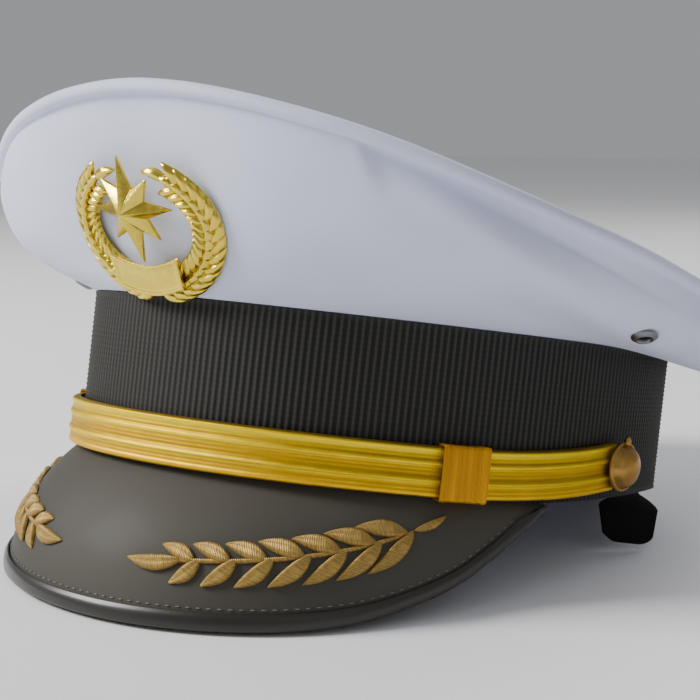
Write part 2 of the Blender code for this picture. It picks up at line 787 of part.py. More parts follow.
def badge_lie():
    """Where the badge's back lies, just clear of the wall and the band behind it."""
    middle = wall_point(0, BADGE_SEAT)
    out = Matrix.Rotation(math.radians(BADGE_LEAN), 3, "X") @ wall_normal(0, BADGE_SEAT)
    up = out.cross(Vector((1, 0, 0)))
    reach = math.degrees(BADGE_WIDTH / BAND_WIDTH)
    behind = 0.0
    for angle in np.linspace(-reach, reach, 25):
        spots = [wall_point(angle, share) for share in np.linspace(0, 1, 41)]
        for spot in [band_point(angle, 0, BAND_HEIGHT), *spots]:
            away = spot - middle
            if abs(away.x) < BADGE_WIDTH / 2 and abs(away.dot(up)) < BADGE_HEIGHT / 2:
                behind = max(behind, away.dot(out) + badge_bend(away.x))
    return BadgeLie(middle + out * (behind + GAP), up, out)


def badge_bend(across):
    return across**2 / (2 * BADGE_CURVE)


def badge_point(lie, across, up, height):
    """A point of the badge: across and up from its middle, at a height above its back."""
    return lie.middle + Vector((across, 0, 0)) + lie.up * up + lie.out * (height - badge_bend(across))


def make_badge_wreath(lie, materials, holder):
    leaf, wide = BADGE_LEAF, BADGE_LEAF * 0.36
    half_x = BADGE_WIDTH / 2 - leaf * 0.45
    half_y = BADGE_HEIGHT / 2 - leaf * 0.45
    mean = (half_x + half_y) / 2

    def place(along, across, height):
        turn = along / mean
        out = Vector((half_y * math.sin(turn), -half_x * math.cos(turn))).normalized()
        spot = Vector((half_x * math.sin(turn), -half_y * math.cos(turn))) + out * across
        return badge_point(lie, spot.x, spot.y, height)

    reach = mean * math.radians(WREATH_HALF_ANGLE)
    nodes = 10
    first = leaf * 0.15
    pitch = (reach - first) / nodes
    leaves = []
    for ahead in (1, -1):
        for k in range(nodes):
            start = first + k * pitch
            at = tuple(sorted((ahead * start, ahead * (start + BADGE_STEM * 1.2))))
            leaves.append(Leaf(at, -1, ahead, leaf, wide, 32))
            leaves.append(Leaf(at, 1, ahead, leaf * 0.9, wide, 32))
    ends = [Leaf((reach,), 1, 1, leaf, wide, 0), Leaf((-reach,), 1, -1, leaf, wide, 0)]
    bm = sprig(BADGE_STEM, -reach, reach, leaves, ends, BADGE_RIDGE, BLADES_SHORT)
    raise_sprig(bm, place, BADGE_PLATE)
    return add_piece("badge_wreath", bm, materials["gilt"], holder)


def make_badge_star(lie, materials, holder):
    """An eight-pointed star with a ridge to each point."""
    seat = BADGE_PLATE + BADGE_RIDGE + GAP
    bm = bmesh.new()
    points = 8
    front, back = [], []
    for k in range(2 * points):
        turn = math.pi * k / points
        tip = k % 2 == 0
        share = (1.0 if k % 4 == 0 else 0.8) if tip else 0.42
        x, y = math.sin(turn) * STAR_WIDTH / 2 * share, math.cos(turn) * STAR_HEIGHT / 2 * share
        front.append(bm.verts.new(badge_point(lie, x, y + STAR_OFFSET, seat + STAR_EDGE)))
        back.append(bm.verts.new(badge_point(lie, x, y + STAR_OFFSET, seat)))
    apex = bm.verts.new(badge_point(lie, 0, STAR_OFFSET, seat + STAR_EDGE + STAR_RISE))
    base = bm.verts.new(badge_point(lie, 0, STAR_OFFSET, seat))
    for k in range(2 * points):
        n = (k + 1) % (2 * points)
        bm.faces.new((front[k], front[n], apex))
        bm.faces.new((back[k], back[n], base))
        bm.faces.new((front[k], front[n], back[n], back[k]))
    star = add_piece("badge_star", bm, materials["gilt"], holder)
    star.data.shade_flat()
    return star


def make_badge_scroll(lie, materials, holder):
    """A plain bowed ribbon across the wreath's foot."""
    seat = BADGE_PLATE + BADGE_RIDGE + GAP

    def place(u, w):
        x = SCROLL_WIDTH * (u - 0.5)
        sag = SCROLL_SAG * (1 - (2 * u - 1) ** 2)
        y = -BADGE_HEIGHT / 2 + SCROLL_FOOT + SCROLL_HEIGHT * w - sag
        return badge_point(lie, x, y, seat + SCROLL_PLATE)

    bm = sheet(10, 2, place)
    thicken(bm, SCROLL_PLATE)
    return add_piece("badge_scroll", bm, materials["gilt"], holder)


def make_size_tab(materials, holder):
    """A cloth tab that hangs from inside the band and turns forward."""
    half = TAB_WIDTH / 2
    inside = -BAND_WALL - GAP

    def place(u, w):
        below = (TAB_TOP + TAB_HANG) * w - TAB_TOP
        z = band_foot(TAB_ANGLE) - below
        fall = max(0.0, below / TAB_HANG)
        turn = math.radians(TAB_TURN) * min(1.0, max(0.0, (below - TAB_TURN_FROM) / TAB_TURN_DEPTH))
        across = half * (1 - 2 * u) * (1 - TAB_TAPER * fall) + TAB_LEAN * fall
        middle = band_point(TAB_ANGLE, inside, z)
        flat = band_point(TAB_ANGLE + across / per_degree(TAB_ANGLE), inside, z)
        return middle + Matrix.Rotation(-turn, 3, "Z") @ (flat - middle)

    bm = sheet(4, 10, place)
    thicken(bm, TAB_CLOTH)
    return add_piece("size_tab", bm, materials["black_webbing"], holder)


def lean_to_rest(holder):
    """Leans the cap back on its peak and stands its box's bottom middle on the origin."""
    holder.rotation_euler.x = -math.atan(rest_slope())
    bpy.context.view_layer.update()
    corners = []
    for piece in holder.children:
        if not piece.hide_render:
            corners += [piece.matrix_world @ vert.co for vert in piece.data.vertices]
    spots = np.array(corners)
    low, high = spots.min(axis=0), spots.max(axis=0)
    middle = (low + high) / 2
    holder.location = (-middle[0], -middle[1], -low[2])


def main():
    clear_scene()
    holder = bpy.data.objects.new("cap_rest", None)
    bpy.context.scene.collection.objects.link(holder)
    materials = finishes()
    make_band(materials, holder)
    make_crown_wall(materials, holder)
    make_crown_rim(materials, holder)
    make_crown_top(materials, holder)
    make_peak(materials, holder)
    make_peak_binding(materials, holder)
    make_chin_strap(materials, holder)
    lie = badge_lie()
    make_badge_wreath(lie, materials, holder)
    make_badge_star(lie, materials, holder)
    make_badge_scroll(lie, materials, holder)
    make_size_tab(materials, holder)
    for side in (1, -1):
        make_strap_keeper(side, materials, holder)
        make_side_button(side, materials, holder)
        make_vent_eyelet(side, materials, holder)
        make_laurel(side, materials, holder)
    lean_to_rest(holder)


if __name__ == "__main__":
    main()
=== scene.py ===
"""The look of a peaked sailor cap, built round its solid parts.

Each piece is drawn in the cap's own frame, as it is worn: the band's lower edge lies in
the plane z = 0, the front faces -Y and the wearer's left is +X. A place round the cap is
an angle in degrees from the front centre towards the wearer's left. REST then lays every
mesh where the cap rests, leaning on its peak.
"""

import json
import math
from collections import namedtuple
from functools import lru_cache

import bmesh
import bpy
import numpy as np
from mathutils import Matrix, Vector, noise


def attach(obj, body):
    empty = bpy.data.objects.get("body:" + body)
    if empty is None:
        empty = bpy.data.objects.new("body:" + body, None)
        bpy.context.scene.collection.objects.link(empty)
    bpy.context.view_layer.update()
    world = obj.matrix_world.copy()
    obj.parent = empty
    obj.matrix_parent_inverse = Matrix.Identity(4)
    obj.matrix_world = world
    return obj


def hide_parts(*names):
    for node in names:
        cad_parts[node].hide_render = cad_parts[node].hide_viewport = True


bl_info = {
    "name": "Peaked sailor cap",
    "version": (1, 0, 0),
    "blender": (4, 5, 0),
    "location": "3D View > Sidebar > Cap",
    "description": "Builds a peaked sailor cap with its strap, badge and embroidery",
    "category": "Add Mesh",
}

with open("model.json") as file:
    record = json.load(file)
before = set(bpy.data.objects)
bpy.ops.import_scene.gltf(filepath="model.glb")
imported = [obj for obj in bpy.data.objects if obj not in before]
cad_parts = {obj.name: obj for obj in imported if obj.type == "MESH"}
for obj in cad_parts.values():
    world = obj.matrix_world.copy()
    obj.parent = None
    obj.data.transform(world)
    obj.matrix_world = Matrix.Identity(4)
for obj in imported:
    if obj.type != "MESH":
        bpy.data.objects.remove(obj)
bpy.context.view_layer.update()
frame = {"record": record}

MERGE = 1e-6  # points nearer than this are one
GAP = 0.0003  # between pieces that would otherwise touch



def axes_matrix(x, y, z):
    """A matrix that turns the three axes to three given directions."""
    return Matrix((x, y, z)).transposed().to_4x4()


opening = next(m for m in frame["record"]["mounts"] if m["name"] == "head_opening")
CAP_UP = -Vector(opening["axis"]).normalized()
CAP_LEFT = Vector((1, 0, 0))
CAP_BACK = CAP_UP.cross(CAP_LEFT)
REST = Matrix.Translation(opening["pos_m"]) @ axes_matrix(CAP_LEFT, CAP_BACK, CAP_UP)

# The rim round the crown. Swell widens the oval plan, and rise is a share of the crown's rise.
RimRow = namedtuple("RimRow", "angle swell rise")
RIM = (
    RimRow(0, 0.995, 0.975),
    RimRow(30, 1.030, 0.825),
    RimRow(60, 1.075, 0.485),
    RimRow(90, 1.020, 0.22),
    RimRow(120, 0.985, 0.17),
    RimRow(150, 0.985, 0.28),
    RimRow(180, 1.000, 0.37),
)

# The crown wall's sections, as shares of the way out to the rim and of the crown's rise
WallRow = namedtuple("WallRow", "angle low_out low_up mid_out mid_up high_out high_up")
WALL = (
    WallRow(0, 0.16, 0.11, 0.51, 0.44, 0.81, 0.74),
    WallRow(25, 0.25, 0.09, 0.65, 0.32, 0.91, 0.61),
    WallRow(50, 0.37, 0.08, 0.81, 0.24, 1.01, 0.44),
    WallRow(70, 0.34, 0.02, 0.74, 0.08, 0.99, 0.21),
    WallRow(90, 0.31, -0.04, 0.72, -0.07, 1.00, 0.04),
    WallRow(120, 0.31, -0.06, 0.74, -0.10, 1.02, 0.01),
    WallRow(150, 0.30, -0.02, 0.72, 0.02, 0.98, 0.14),
    WallRow(180, 0.28, 0.03, 0.67, 0.11, 0.95, 0.24),
)

# The peak's edge, as shares of its reach and of the way down to the surface it rests on
PeakRow = namedtuple("PeakRow", "angle reach drop")
PEAK = (
    PeakRow(0, 1.00, 1.00),
    PeakRow(15, 0.98, 1.00),
    PeakRow(30, 0.88, 1.00),
    PeakRow(40, 0.72, 0.98),
    PeakRow(48, 0.54, 0.91),
    PeakRow(56, 0.38, 0.77),
    PeakRow(62, 0.27, 0.57),
    PeakRow(68, 0.19, 0.32),
    PeakRow(74, 0.11, 0.06),
)
PEAK_BULGE = 0.11  # the section's swell, as a share of its chord
PEAK_HALF_ANGLE = 74
BINDING_HALF_ANGLE = 73.4
BINDING_CLEARANCE = 0.0005

# The part of the band's lower edge that arches up at each side, in degrees from the front
BAND_ARCH_FROM = 61
BAND_ARCH_TO = 165

# The embroidered stem on the wearer's left, as angles and shares of the way down the peak
StemRow = namedtuple("StemRow", "angle down")
LAUREL_ROUTE = (
    StemRow(55, 0.18),
    StemRow(47, 0.37),
    StemRow(36, 0.50),
    StemRow(23, 0.58),
    StemRow(7, 0.63),
)

# Soft folds along the crown wall: a line through (angle, share up the wall, height), and its reach
FoldRow = namedtuple("FoldRow", "angle share height")
HOLLOW_UNDER_RIM = (
    FoldRow(33, 0.95, 0.0),
    FoldRow(44, 0.87, -1.0),
    FoldRow(61, 0.80, -1.0),
    FoldRow(95, 0.78, 0.0),
)
RIDGE_TO_SIDE = (
    FoldRow(36, 0.84, 0.0),
    FoldRow(44, 0.76, 0.6),
    FoldRow(56, 0.60, 0.8),
    FoldRow(84, 0.48, 0.0),
)
HOLLOW_OVER_BAND = (
    FoldRow(44, 0.36, 0.0),
    FoldRow(58, 0.30, -0.7),
    FoldRow(72, 0.26, -0.6),
    FoldRow(90, 0.28, 0.0),
)
CROWN_FOLDS = ((HOLLOW_UNDER_RIM, 0.11), (RIDGE_TO_SIDE, 0.10), (HOLLOW_OVER_BAND, 0.13))

# The crease where the stiffened front ends. The wall steps down behind it and rises again.
CREASE_ANGLE = 33
CREASE_TOP = 0.97  # share up the wall from which it leans back
CREASE_LEAN = 14  # degrees by which it would lean back over the whole wall
CREASE_WIDTH = 2.2  # degrees that the step takes
CREASE_FADE = 20  # degrees over which the wall rises again
CREASE_END = 150
CREASE_SHARE = 0.93  # the step is deepest at this share up the wall
CREASE_REACH = 0.13
CREASE_DEPTH = 0.9


def length(name, description, metres):
    return bpy.props.FloatProperty(
        name=name, description=description, default=metres, unit="LENGTH", precision=5
    )


def shade(name, description, colour):
    return bpy.props.FloatVectorProperty(
        name=name, description=description, default=colour, subtype="COLOR", size=3, min=0, max=1
    )


class CapSizes(bpy.types.PropertyGroup):
    """Sizes of the cap's pieces."""

    band_length: length("Band length", "The band from front to back", 0.206)
    band_width: length("Band width", "The band from side to side", 0.176)
    band_height: length("Band height", "Height of the ribbed band", 0.0473)
    band_wall: length("Band wall", "Thickness of the band", 0.002)
    band_arch: length("Band arch", "How far the band's lower edge rises at each side", 0.004)
    rib_pitch: length("Rib pitch", "From one upright rib of the webbing to the next", 0.0020)
    rib_depth: length("Rib depth", "Height of the ribs", 0.00045)
    bead_pitch: length("Bead pitch", "From one thread over a rib to the next", 0.0015)
    crown_length: length("Crown length", "The rim from front to back", 0.257)
    crown_width: length("Crown width", "The rim from side to side", 0.244)
    crown_backward: length("Crown backward", "The crown's middle behind the band's", 0.0035)
    crown_rise: length("Crown rise", "From the band's top edge to the rim, at the front", 0.056)
    crown_cloth: length("Crown cloth", "Thickness of the crown's cloth", 0.0012)
    crown_tuck: length("Crown tuck", "How far the wall goes down inside the band", 0.009)
    crown_dome: length("Crown dome", "Rise of the top above a flat drum skin", 0.003)
    rim_roll: length("Rim roll", "Diameter of the rolled rim", 0.0042)
    fold_depth: length("Fold depth", "Depth of the soft folds in the crown wall", 0.0026)
    peak_reach: length("Peak reach", "How far the peak stands out from the band", 0.021)
    peak_drop: length("Peak drop", "How far the peak's edge lies below the band", 0.041)
    peak_leather: length("Peak leather", "Thickness of the peak", 0.0016)
    binding_leather: length("Binding leather", "Thickness of the peak's binding", 0.0008)
    binding_depth: length("Binding depth", "How far the binding reaches over the peak", 0.0046)
    stitch_length: length("Stitch length", "Length of a stitch beside the binding", 0.0016)
    stitch_pitch: length("Stitch pitch", "From one stitch to the next", 0.0029)
    strap_width: length("Strap width", "Width of the gold strap", 0.0142)
    strap_thickness: length("Strap thickness", "Thickness of the gold strap", 0.002)
    strap_ridge: length("Strap ridge", "Height of the strap's two raised cords", 0.0006)
    keeper_length: length("Keeper length", "Length of the loops round the strap", 0.0135)
    keeper_wall: length("Keeper wall", "Thickness of the loops round the strap", 0.0007)
    button_diameter: length("Button diameter", "Diameter of the side buttons", 0.015)
    button_dome: length("Button dome", "Height of the side buttons' domes", 0.004)
    eyelet_diameter: length("Eyelet diameter", "Outer diameter of the vent eyelets", 0.0075)
    eyelet_hole: length("Eyelet hole", "Diameter of the vent holes", 0.0034)
    badge_width: length("Badge width", "Width of the wreath", 0.055)
    badge_height: length("Badge height", "Height of the wreath", 0.042)
    star_size: length("Star size", "Height and width of the star", 0.031)
    laurel_leaf: length("Laurel leaf", "Length of the embroidered leaves", 0.0108)
    laurel_leaf_width: length("Laurel leaf width", "Width of the embroidered leaves", 0.0045)
    tab_width: length("Tab width", "Width of the cloth tab", 0.021)
    tab_hang: length("Tab hang", "How far the tab hangs below the band", 0.0164)
    tab_cloth: length("Tab cloth", "Thickness of the tab", 0.0016)


class CapColours(bpy.types.PropertyGroup):
    """Colours of the cap's finishes."""

    cloth: shade("Cloth", "White cloth of the crown", (0.69, 0.72, 0.90))
    webbing: shade("Webbing", "Ribbed webbing of the band", (0.014, 0.013, 0.010))
    leather: shade("Leather", "Leather of the peak", (0.056, 0.051, 0.040))
    # the stitch thread is made grey, lighter than the dark thread, as a painted highlight for the glints
    # on its gloss
    stitch: shade("Stitch", "Thread of the stitches along the peak", (0.14, 0.135, 0.12))
    braid: shade("Braid", "Gold braid of the strap", (0.97, 0.57, 0.006))
    keeper_braid: shade("Keeper braid", "Braid of the strap's keepers", (0.66, 0.30, 0.002))
    thread: shade("Thread", "Thread of the embroidered branches", (0.37, 0.235, 0.055))
    gilt: shade("Gilt", "Gilding of the badge", (0.78, 0.60, 0.08))
    bronze: shade("Bronze", "Side buttons", (0.42, 0.24, 0.06))
    vent: shade("Vent", "Metal of the vent eyelets", (0.22, 0.22, 0.24))
    tab_cloth: shade("Tab cloth", "Cloth of the tab", (0.006, 0.006, 0.006))


@lru_cache(maxsize=None)
def through(rows, at):
    """Smooth values of a table's other columns at a value of its first column."""
    return between(np.array(rows, dtype=float), at)


def between(table, at):
    """A cubic through the rows of a table, at a value of its first column."""
    x, y = table[:, 0], table[:, 1:]
    slope = np.zeros_like(y)
    slope[1:-1] = (y[2:] - y[:-2]) / (x[2:] - x[:-2])[:, None]
    k = int(np.clip(np.searchsorted(x, at) - 1, 0, len(x) - 2))
    span = x[k + 1] - x[k]
    f = (at - x[k]) / span
    return (
        (2 * f**3 - 3 * f**2 + 1) * y[k]
        + (f**3 - 2 * f**2 + f) * span * slope[k]
        + (3 * f**2 - 2 * f**3) * y[k + 1]
        + (f**3 - f**2) * span * slope[k + 1]
    )


def curve_through(points, share):
    """A smooth curve through a few points, at a share of the way along them."""
    table = np.array([(k, *p) for k, p in enumerate(points)], dtype=float)
    return between(table, share * (len(points) - 1))


def folded(angle):
    """The angle from the front centre, the same on both sides."""
    return round(abs((angle + 180) % 360 - 180), 6)


def swelling(distance, reach):
    """A smooth bump, 1 in the middle and falling to 0 beyond a few times its reach."""
    return math.exp(-((distance / reach) ** 2))


def ridges(rows, at):
    """The summed heights of smooth bumps, each given by its place, reach and height."""
    return sum(height * swelling(at - middle, reach) for middle, reach, height in rows)


def band_normal(size, angle):
    a = math.radians(angle)
    return Vector((size.band_length * math.sin(a), -size.band_width * math.cos(a), 0)).normalized()


def band_point(size, angle, out=0.0, z=0.0):
    """A point at a distance out from the band's outer face."""
    a = math.radians(angle)
    on_band = Vector((size.band_width / 2 * math.sin(a), -size.band_length / 2 * math.cos(a), z))
    return on_band + band_normal(size, angle) * out


def band_foot(size, angle):
    """The height of the band's lower edge, which arches up a little at each side."""
    share = (folded(angle) - BAND_ARCH_FROM) / (BAND_ARCH_TO - BAND_ARCH_FROM)
    return size.band_arch * math.sin(math.pi * min(1.0, max(0.0, share))) ** 2


def per_degree(size, angle):
    """How far one degree goes along the band."""
    return (band_point(size, angle + 0.5) - band_point(size, angle - 0.5)).length


def rim_point(size, angle):
    a = math.radians(angle)
    swell, rise = through(RIM, folded(angle))
    return Vector((
        swell * size.crown_width / 2 * math.sin(a),
        size.crown_backward - swell * size.crown_length / 2 * math.cos(a),
        size.band_height + size.crown_rise * rise,
    ))


def wall_point(size, angle, share):
    """A point of the crown wall's outer face, from the band's top edge to the rim."""
    row = WallRow(folded(angle), *through(WALL, folded(angle)))
    foot = band_point(size, angle, GAP, size.band_height + GAP)
    rim = rim_point(size, angle)
    stations = [foot]
    for out, up in ((row.low_out, row.low_up), (row.mid_out, row.mid_up), (row.high_out, row.high_up)):
        station = foot.lerp(rim, out)
        station.z = foot.z + size.crown_rise * up
        stations.append(station)
    stations.append(rim + (stations[-1] - rim).normalized() * (size.rim_roll / 2 - 2 * GAP))
    return Vector(curve_through(stations, share))


def wall_normal(size, angle, share, step=0.01):
    along = wall_point(size, angle + 1, share) - wall_point(size, angle - 1, share)
    up = wall_point(size, angle, share + step) - wall_point(size, angle, share - step)
    return along.cross(up).normalized()


def wall_folds(angle, share):
    """Height of the soft folds on the crown wall, about -1 to 1. Only its left side has them."""
    folds = 0.0
    at = (angle + 180) % 360 - 180
    for rows, reach in CROWN_FOLDS:
        if rows[0].angle < at < rows[-1].angle:
            middle, height = through(rows, at)
            folds += height * swelling(share - middle, reach)
    past = at - CREASE_ANGLE - CREASE_LEAN * (CREASE_TOP - share)
    step = min(1.0, max(0.0, past / CREASE_WIDTH + 0.5)) if at < CREASE_END else 0.0
    drop = step * step * (3 - 2 * step) * math.exp(-max(0.0, past) / CREASE_FADE)
    return folds - CREASE_DEPTH * drop * swelling(share - CREASE_SHARE, CREASE_REACH)


def rest_slope(size):
    return size.peak_drop / (size.band_length + size.peak_reach)


def peak_section(size, angle):
    """The upper end, the chord and the swell of the peak's section at an angle."""
    reach, drop = through(PEAK, folded(angle))
    top = band_point(size, angle, 0, band_foot(size, angle) - GAP)
    edge = band_point(size, angle, size.peak_reach * reach)
    edge.z = -rest_slope(size) * (size.band_length / 2 - edge.y) * drop
    chord = edge - top
    sideways = chord.cross(Vector((0, 0, 1))).normalized()
    return top, chord, sideways.cross(chord) * 4 * PEAK_BULGE


def peak_point(size, angle, share, height=0.0):
    """A point at a height above the peak's upper face, a share of the way down it."""
    top, chord, swell = peak_section(size, angle)
    point = top + chord * share + swell * share * (1 - share)
    if height:
        point += peak_normal(size, angle, share) * height
    return point


def peak_normal(size, angle, share):
    top, chord, swell = peak_section(size, angle)
    down = chord + swell * (1 - 2 * share)
    along = peak_point(size, angle + 0.5, share) - peak_point(size, angle - 0.5, share)
    return down.cross(along).normalized()


def inset_point(size, angle, inset, height=0.0):
    """A point of the peak at a distance in from its edge."""
    return peak_point(size, angle, 1 - inset / peak_section(size, angle)[1].length, height)


def sheet(columns, rows, place, closed=False, span=(1.0, 1.0)):
    """A grid laid through place(u, w), both from 0 to 1, with its UV map in real lengths."""
    bm = bmesh.new()
    uv = bm.loops.layers.uv.new("UVMap")
    bmesh.ops.create_grid(bm, x_segments=columns, y_segments=rows, size=0.5, calc_uvs=True)
    for face in bm.faces:
        for loop in face.loops:
            u, w = loop.vert.co.x + 0.5, loop.vert.co.y + 0.5
            loop[uv].uv = (u * span[0], w * span[1])
    for vert in bm.verts:
        vert.co = place(vert.co.x + 0.5, vert.co.y + 0.5)
    if closed:
        bmesh.ops.remove_doubles(bm, verts=bm.verts, dist=MERGE)
    return bm


def thicken(bm, thickness):
    """Gives an open sheet a wall on its inner side."""
    bm.normal_update()
    bmesh.ops.solidify(bm, geom=bm.faces[:], thickness=thickness)


def fill_ends(bm):
    loose = [e for e in bm.edges if e.is_boundary]
    if loose:
        bmesh.ops.holes_fill(bm, edges=loose, sides=0)


def lathe(profile, sides):
    """Turns a profile of (radius, height) points into a round piece about Z."""
    bm = bmesh.new()
    verts = [bm.verts.new((radius, 0, height)) for radius, height in profile]
    edges = [bm.edges.new(pair) for pair in zip(verts, verts[1:])]
    if profile[0][0] and profile[-1][0]:
        edges.append(bm.edges.new((verts[-1], verts[0])))
    bmesh.ops.spin(
        bm, geom=verts + edges, axis=(0, 0, 1), cent=(0, 0, 0), angle=2 * math.pi, steps=sides,
        use_merge=True,
    )
    bmesh.ops.remove_doubles(bm, verts=bm.verts, dist=MERGE)
    return bm


def standing(origin, out):
    """A matrix that stands a turned piece on a face, its axis along out."""
    across = Vector((0, 0, 1)).cross(out).normalized()
    return Matrix.Translation(origin) @ axes_matrix(across, out.cross(across), out)


def settle(name, bm, material, replaced=(), sharp=40):
    """Makes a bmesh a finished piece on the cap, where the cap rests."""
    bm.normal_update()
    bmesh.ops.recalc_face_normals(bm, faces=bm.faces)
    bm.transform(REST)
    mesh = bpy.data.meshes.new(name)
    bm.to_mesh(mesh)
    bm.free()
    mesh.materials.append(material)
    mesh.shade_smooth()
    mesh.set_sharp_from_angle(angle=math.radians(sharp))
    piece = bpy.data.objects.new(name, mesh)
    bpy.context.scene.collection.objects.link(piece)
    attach(piece, "root")
    if replaced:
        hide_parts(*replaced)
    return piece


def plain(name, colour, roughness, metallic=0.0, sheen=0.0, coat=0.0, specular=0.5):
    """A material to which a finish then adds its pattern."""
    material = bpy.data.materials.new(name)
    material.use_nodes = True
    shader = material.node_tree.nodes["Principled BSDF"]
    shader.inputs["Base Color"].default_value = (*colour, 1.0)
    shader.inputs["Roughness"].default_value = roughness
    shader.inputs["Metallic"].default_value = metallic
    shader.inputs["Sheen Weight"].default_value = sheen
    shader.inputs["Coat Weight"].default_value = coat
    shader.inputs["Specular IOR Level"].default_value = specular
    return material


def add_node(material, kind, inputs=None, **settings):
    made = material.node_tree.nodes.new("ShaderNode" + kind)
    for key, value in settings.items():
        setattr(made, key, value)
    for key, value in (inputs or {}).items():
        if isinstance(value, bpy.types.NodeSocket):
            material.node_tree.links.new(value, made.inputs[key])
        else:
            made.inputs[key].default_value = value
    return made


def shader_of(material):
    return material.node_tree.nodes["Principled BSDF"]


def drive(material, socket, name):
    """Leads a pattern into an input of the material's shader."""
    material.node_tree.links.new(socket, shader_of(material).inputs[name])


def coordinates(material, kind):
    return add_node(material, "TexCoord").outputs[kind]


def mapped(material, where, **settings):
    """Coordinates that are turned or drawn out."""
    inputs = {name.title(): value for name, value in settings.items()}
    return add_node(material, "Mapping", {"Vector": where, **inputs}).outputs["Vector"]


def bands(material, where, pitch, direction):
    """Even stripes at a real pitch, from 0 to 1."""
    return add_node(
        material, "TexWave", {"Vector": where, "Scale": math.pi / 10 / pitch}, bands_direction=direction
    ).outputs["Fac"]


def grain(material, where, scale, detail=3.0):
    return add_node(
        material, "TexNoise", {"Vector": where, "Scale": scale, "Detail": detail}
    ).outputs["Fac"]


def arithmetic(material, operation, first, second):
    return add_node(material, "Math", {0: first, 1: second}, operation=operation).outputs[0]


def ramp(material, value, stops):
    """Colours at chosen places of a value. Each stop is a place and its colour."""
    made = add_node(material, "ValToRGB", {"Fac": value})
    elements = made.color_ramp.elements
    while len(elements) < len(stops):
        elements.new(0.5)
    for element, (place, colour) in zip(elements, stops):
        element.position = place
        element.color = (*colour, 1.0)
    return made.outputs["Color"]


def mottle(material, pattern, name, low, high):
    """Lets an input of the shader go softly between two colours with a pattern."""
    drive(material, ramp(material, pattern, ((0.3, low), (0.7, high))), name)


def toned(colour, tone):
    return tuple(min(1.0, channel * tone) for channel in colour)


def grey(value):
    return (value, value, value)


def multiplied(material, first, second):
    values = {0: 1.0, 6: first, 7: second}
    return add_node(material, "Mix", values, data_type="RGBA", blend_type="MULTIPLY").outputs[2]


def relief(material, height, distance, strength=1.0):
    """Adds a height to the surface's normal, on top of any that is there."""
    shader = shader_of(material)
    values = {"Height": height, "Distance": distance, "Strength": strength}
    if shader.inputs["Normal"].links:
        values["Normal"] = shader.inputs["Normal"].links[0].from_socket
    drive(material, add_node(material, "Bump", values).outputs["Normal"], "Normal")


def weave(material, pitch):
    """Threads that cross at a real pitch."""
    uv = coordinates(material, "UV")
    along, across = bands(material, uv, pitch, "X"), bands(material, uv, pitch, "Y")
    return arithmetic(material, "MULTIPLY", along, across)


def cloth_finish(colour):
    """Fine white twill with faint unevenness."""
    material = plain("white_cloth", colour, 0.72, sheen=0.15)
    where = coordinates(material, "Object")
    mottle(material, grain(material, where, 22.0), "Base Color", toned(colour, 0.96), toned(colour, 1.03))
    relief(material, weave(material, 0.0006), 0.00006, 0.5)
    relief(material, grain(material, where, 45.0, 2.0), 0.0012, 0.25)
    return material


def webbing_finish(colour, pitch, bead):
    """Ribbed webbing, with painted shade in the grooves between its ribs and between the threads that
    cross them, and the ribs painted lighter as a painted highlight.
    """
    material = plain("ribbed_webbing", colour, 0.6, specular=0.3)
    uv = coordinates(material, "UV")
    ribs = bands(material, uv, pitch, "X")
    # painted shade in the grooves between the ribs, and a painted highlight on the ribs
    tone = ramp(material, ribs, ((0.15, toned(colour, 2.8)), (0.6, toned(colour, 0.35))))
    # painted shade between the threads that cross the ribs
    beads = ramp(material, bands(material, uv, bead, "Y"), ((0.2, grey(0.84)), (0.8, grey(1.0))))
    drive(material, multiplied(material, tone, beads), "Base Color")
    relief(material, grain(material, uv, 2500.0, 2.0), 0.00008, 0.5)
    return material


def tab_finish(colour):
    """Dull black cloth with a close weave."""
    material = plain("tab_cloth", colour, 0.85, specular=0.2)
    threads = weave(material, 0.0008)
    tone = ramp(material, threads, ((0.0, toned(colour, 0.8)), (1.0, toned(colour, 1.6))))
    drive(material, tone, "Base Color")
    relief(material, threads, 0.0001, 0.5)
    return material


def leather_finish(name, colour, roughness, coat):
    """Leather with a fine grain and faint smears, as shiny as its roughness and coat make it."""
    material = plain(name, colour, roughness, coat=coat, specular=0.3)
    shader_of(material).inputs["Coat Roughness"].default_value = 0.25
    where = coordinates(material, "Object")
    smear = grain(material, where, 14.0, 4.0)
    mottle(material, smear, "Base Color", toned(colour, 0.85), toned(colour, 1.2))
    mottle(material, smear, "Roughness", grey(roughness * 0.9), grey(roughness * 1.15))
    pores = add_node(material, "TexVoronoi", {"Vector": where, "Scale": 900.0}).outputs["Distance"]
    relief(material, pores, 0.00008, 0.25)
    return material


def braid_finish(colour, width):
    """Satin braid: lengthwise stripes of painted light, a painted highlight on the two cords and the
    raised edge, and painted shade in the lanes between them and at the rounded edges, crossed by fine
    threads.
    """
    material = plain("gold_braid", colour, 0.5, metallic=0.95)
    uv = coordinates(material, "UV")
    split = add_node(material, "SeparateXYZ", {"Vector": uv})
    across = arithmetic(material, "DIVIDE", split.outputs["Y"], width)
    # painted highlight on the cords and the raised edge, painted shade in the lanes between them and at
    # the rounded edges
    cord_highlights_and_lane_shade = (
        (0.0, 0.35), (0.06, 1.0), (0.25, 0.6), (0.33, 1.3), (0.41, 0.5),
        (0.59, 0.7), (0.67, 1.3), (0.75, 0.5), (0.94, 1.3), (1.0, 0.35),
    )
    tone = ramp(material, across, [(place, toned(colour, share)) for place, share in cord_highlights_and_lane_shade])
    streaks = mapped(material, uv, scale=(0.15, 1.0, 1.0))
    uneven = ramp(material, grain(material, streaks, 900.0), ((0.3, grey(0.86)), (0.7, grey(1.05))))
    drive(material, multiplied(material, tone, uneven), "Base Color")
    relief(material, bands(material, uv, 0.0005, "X"), 0.00006, 0.6)
    relief(material, bands(material, uv, 0.0011, "Y"), 0.00012, 0.6)
    return material


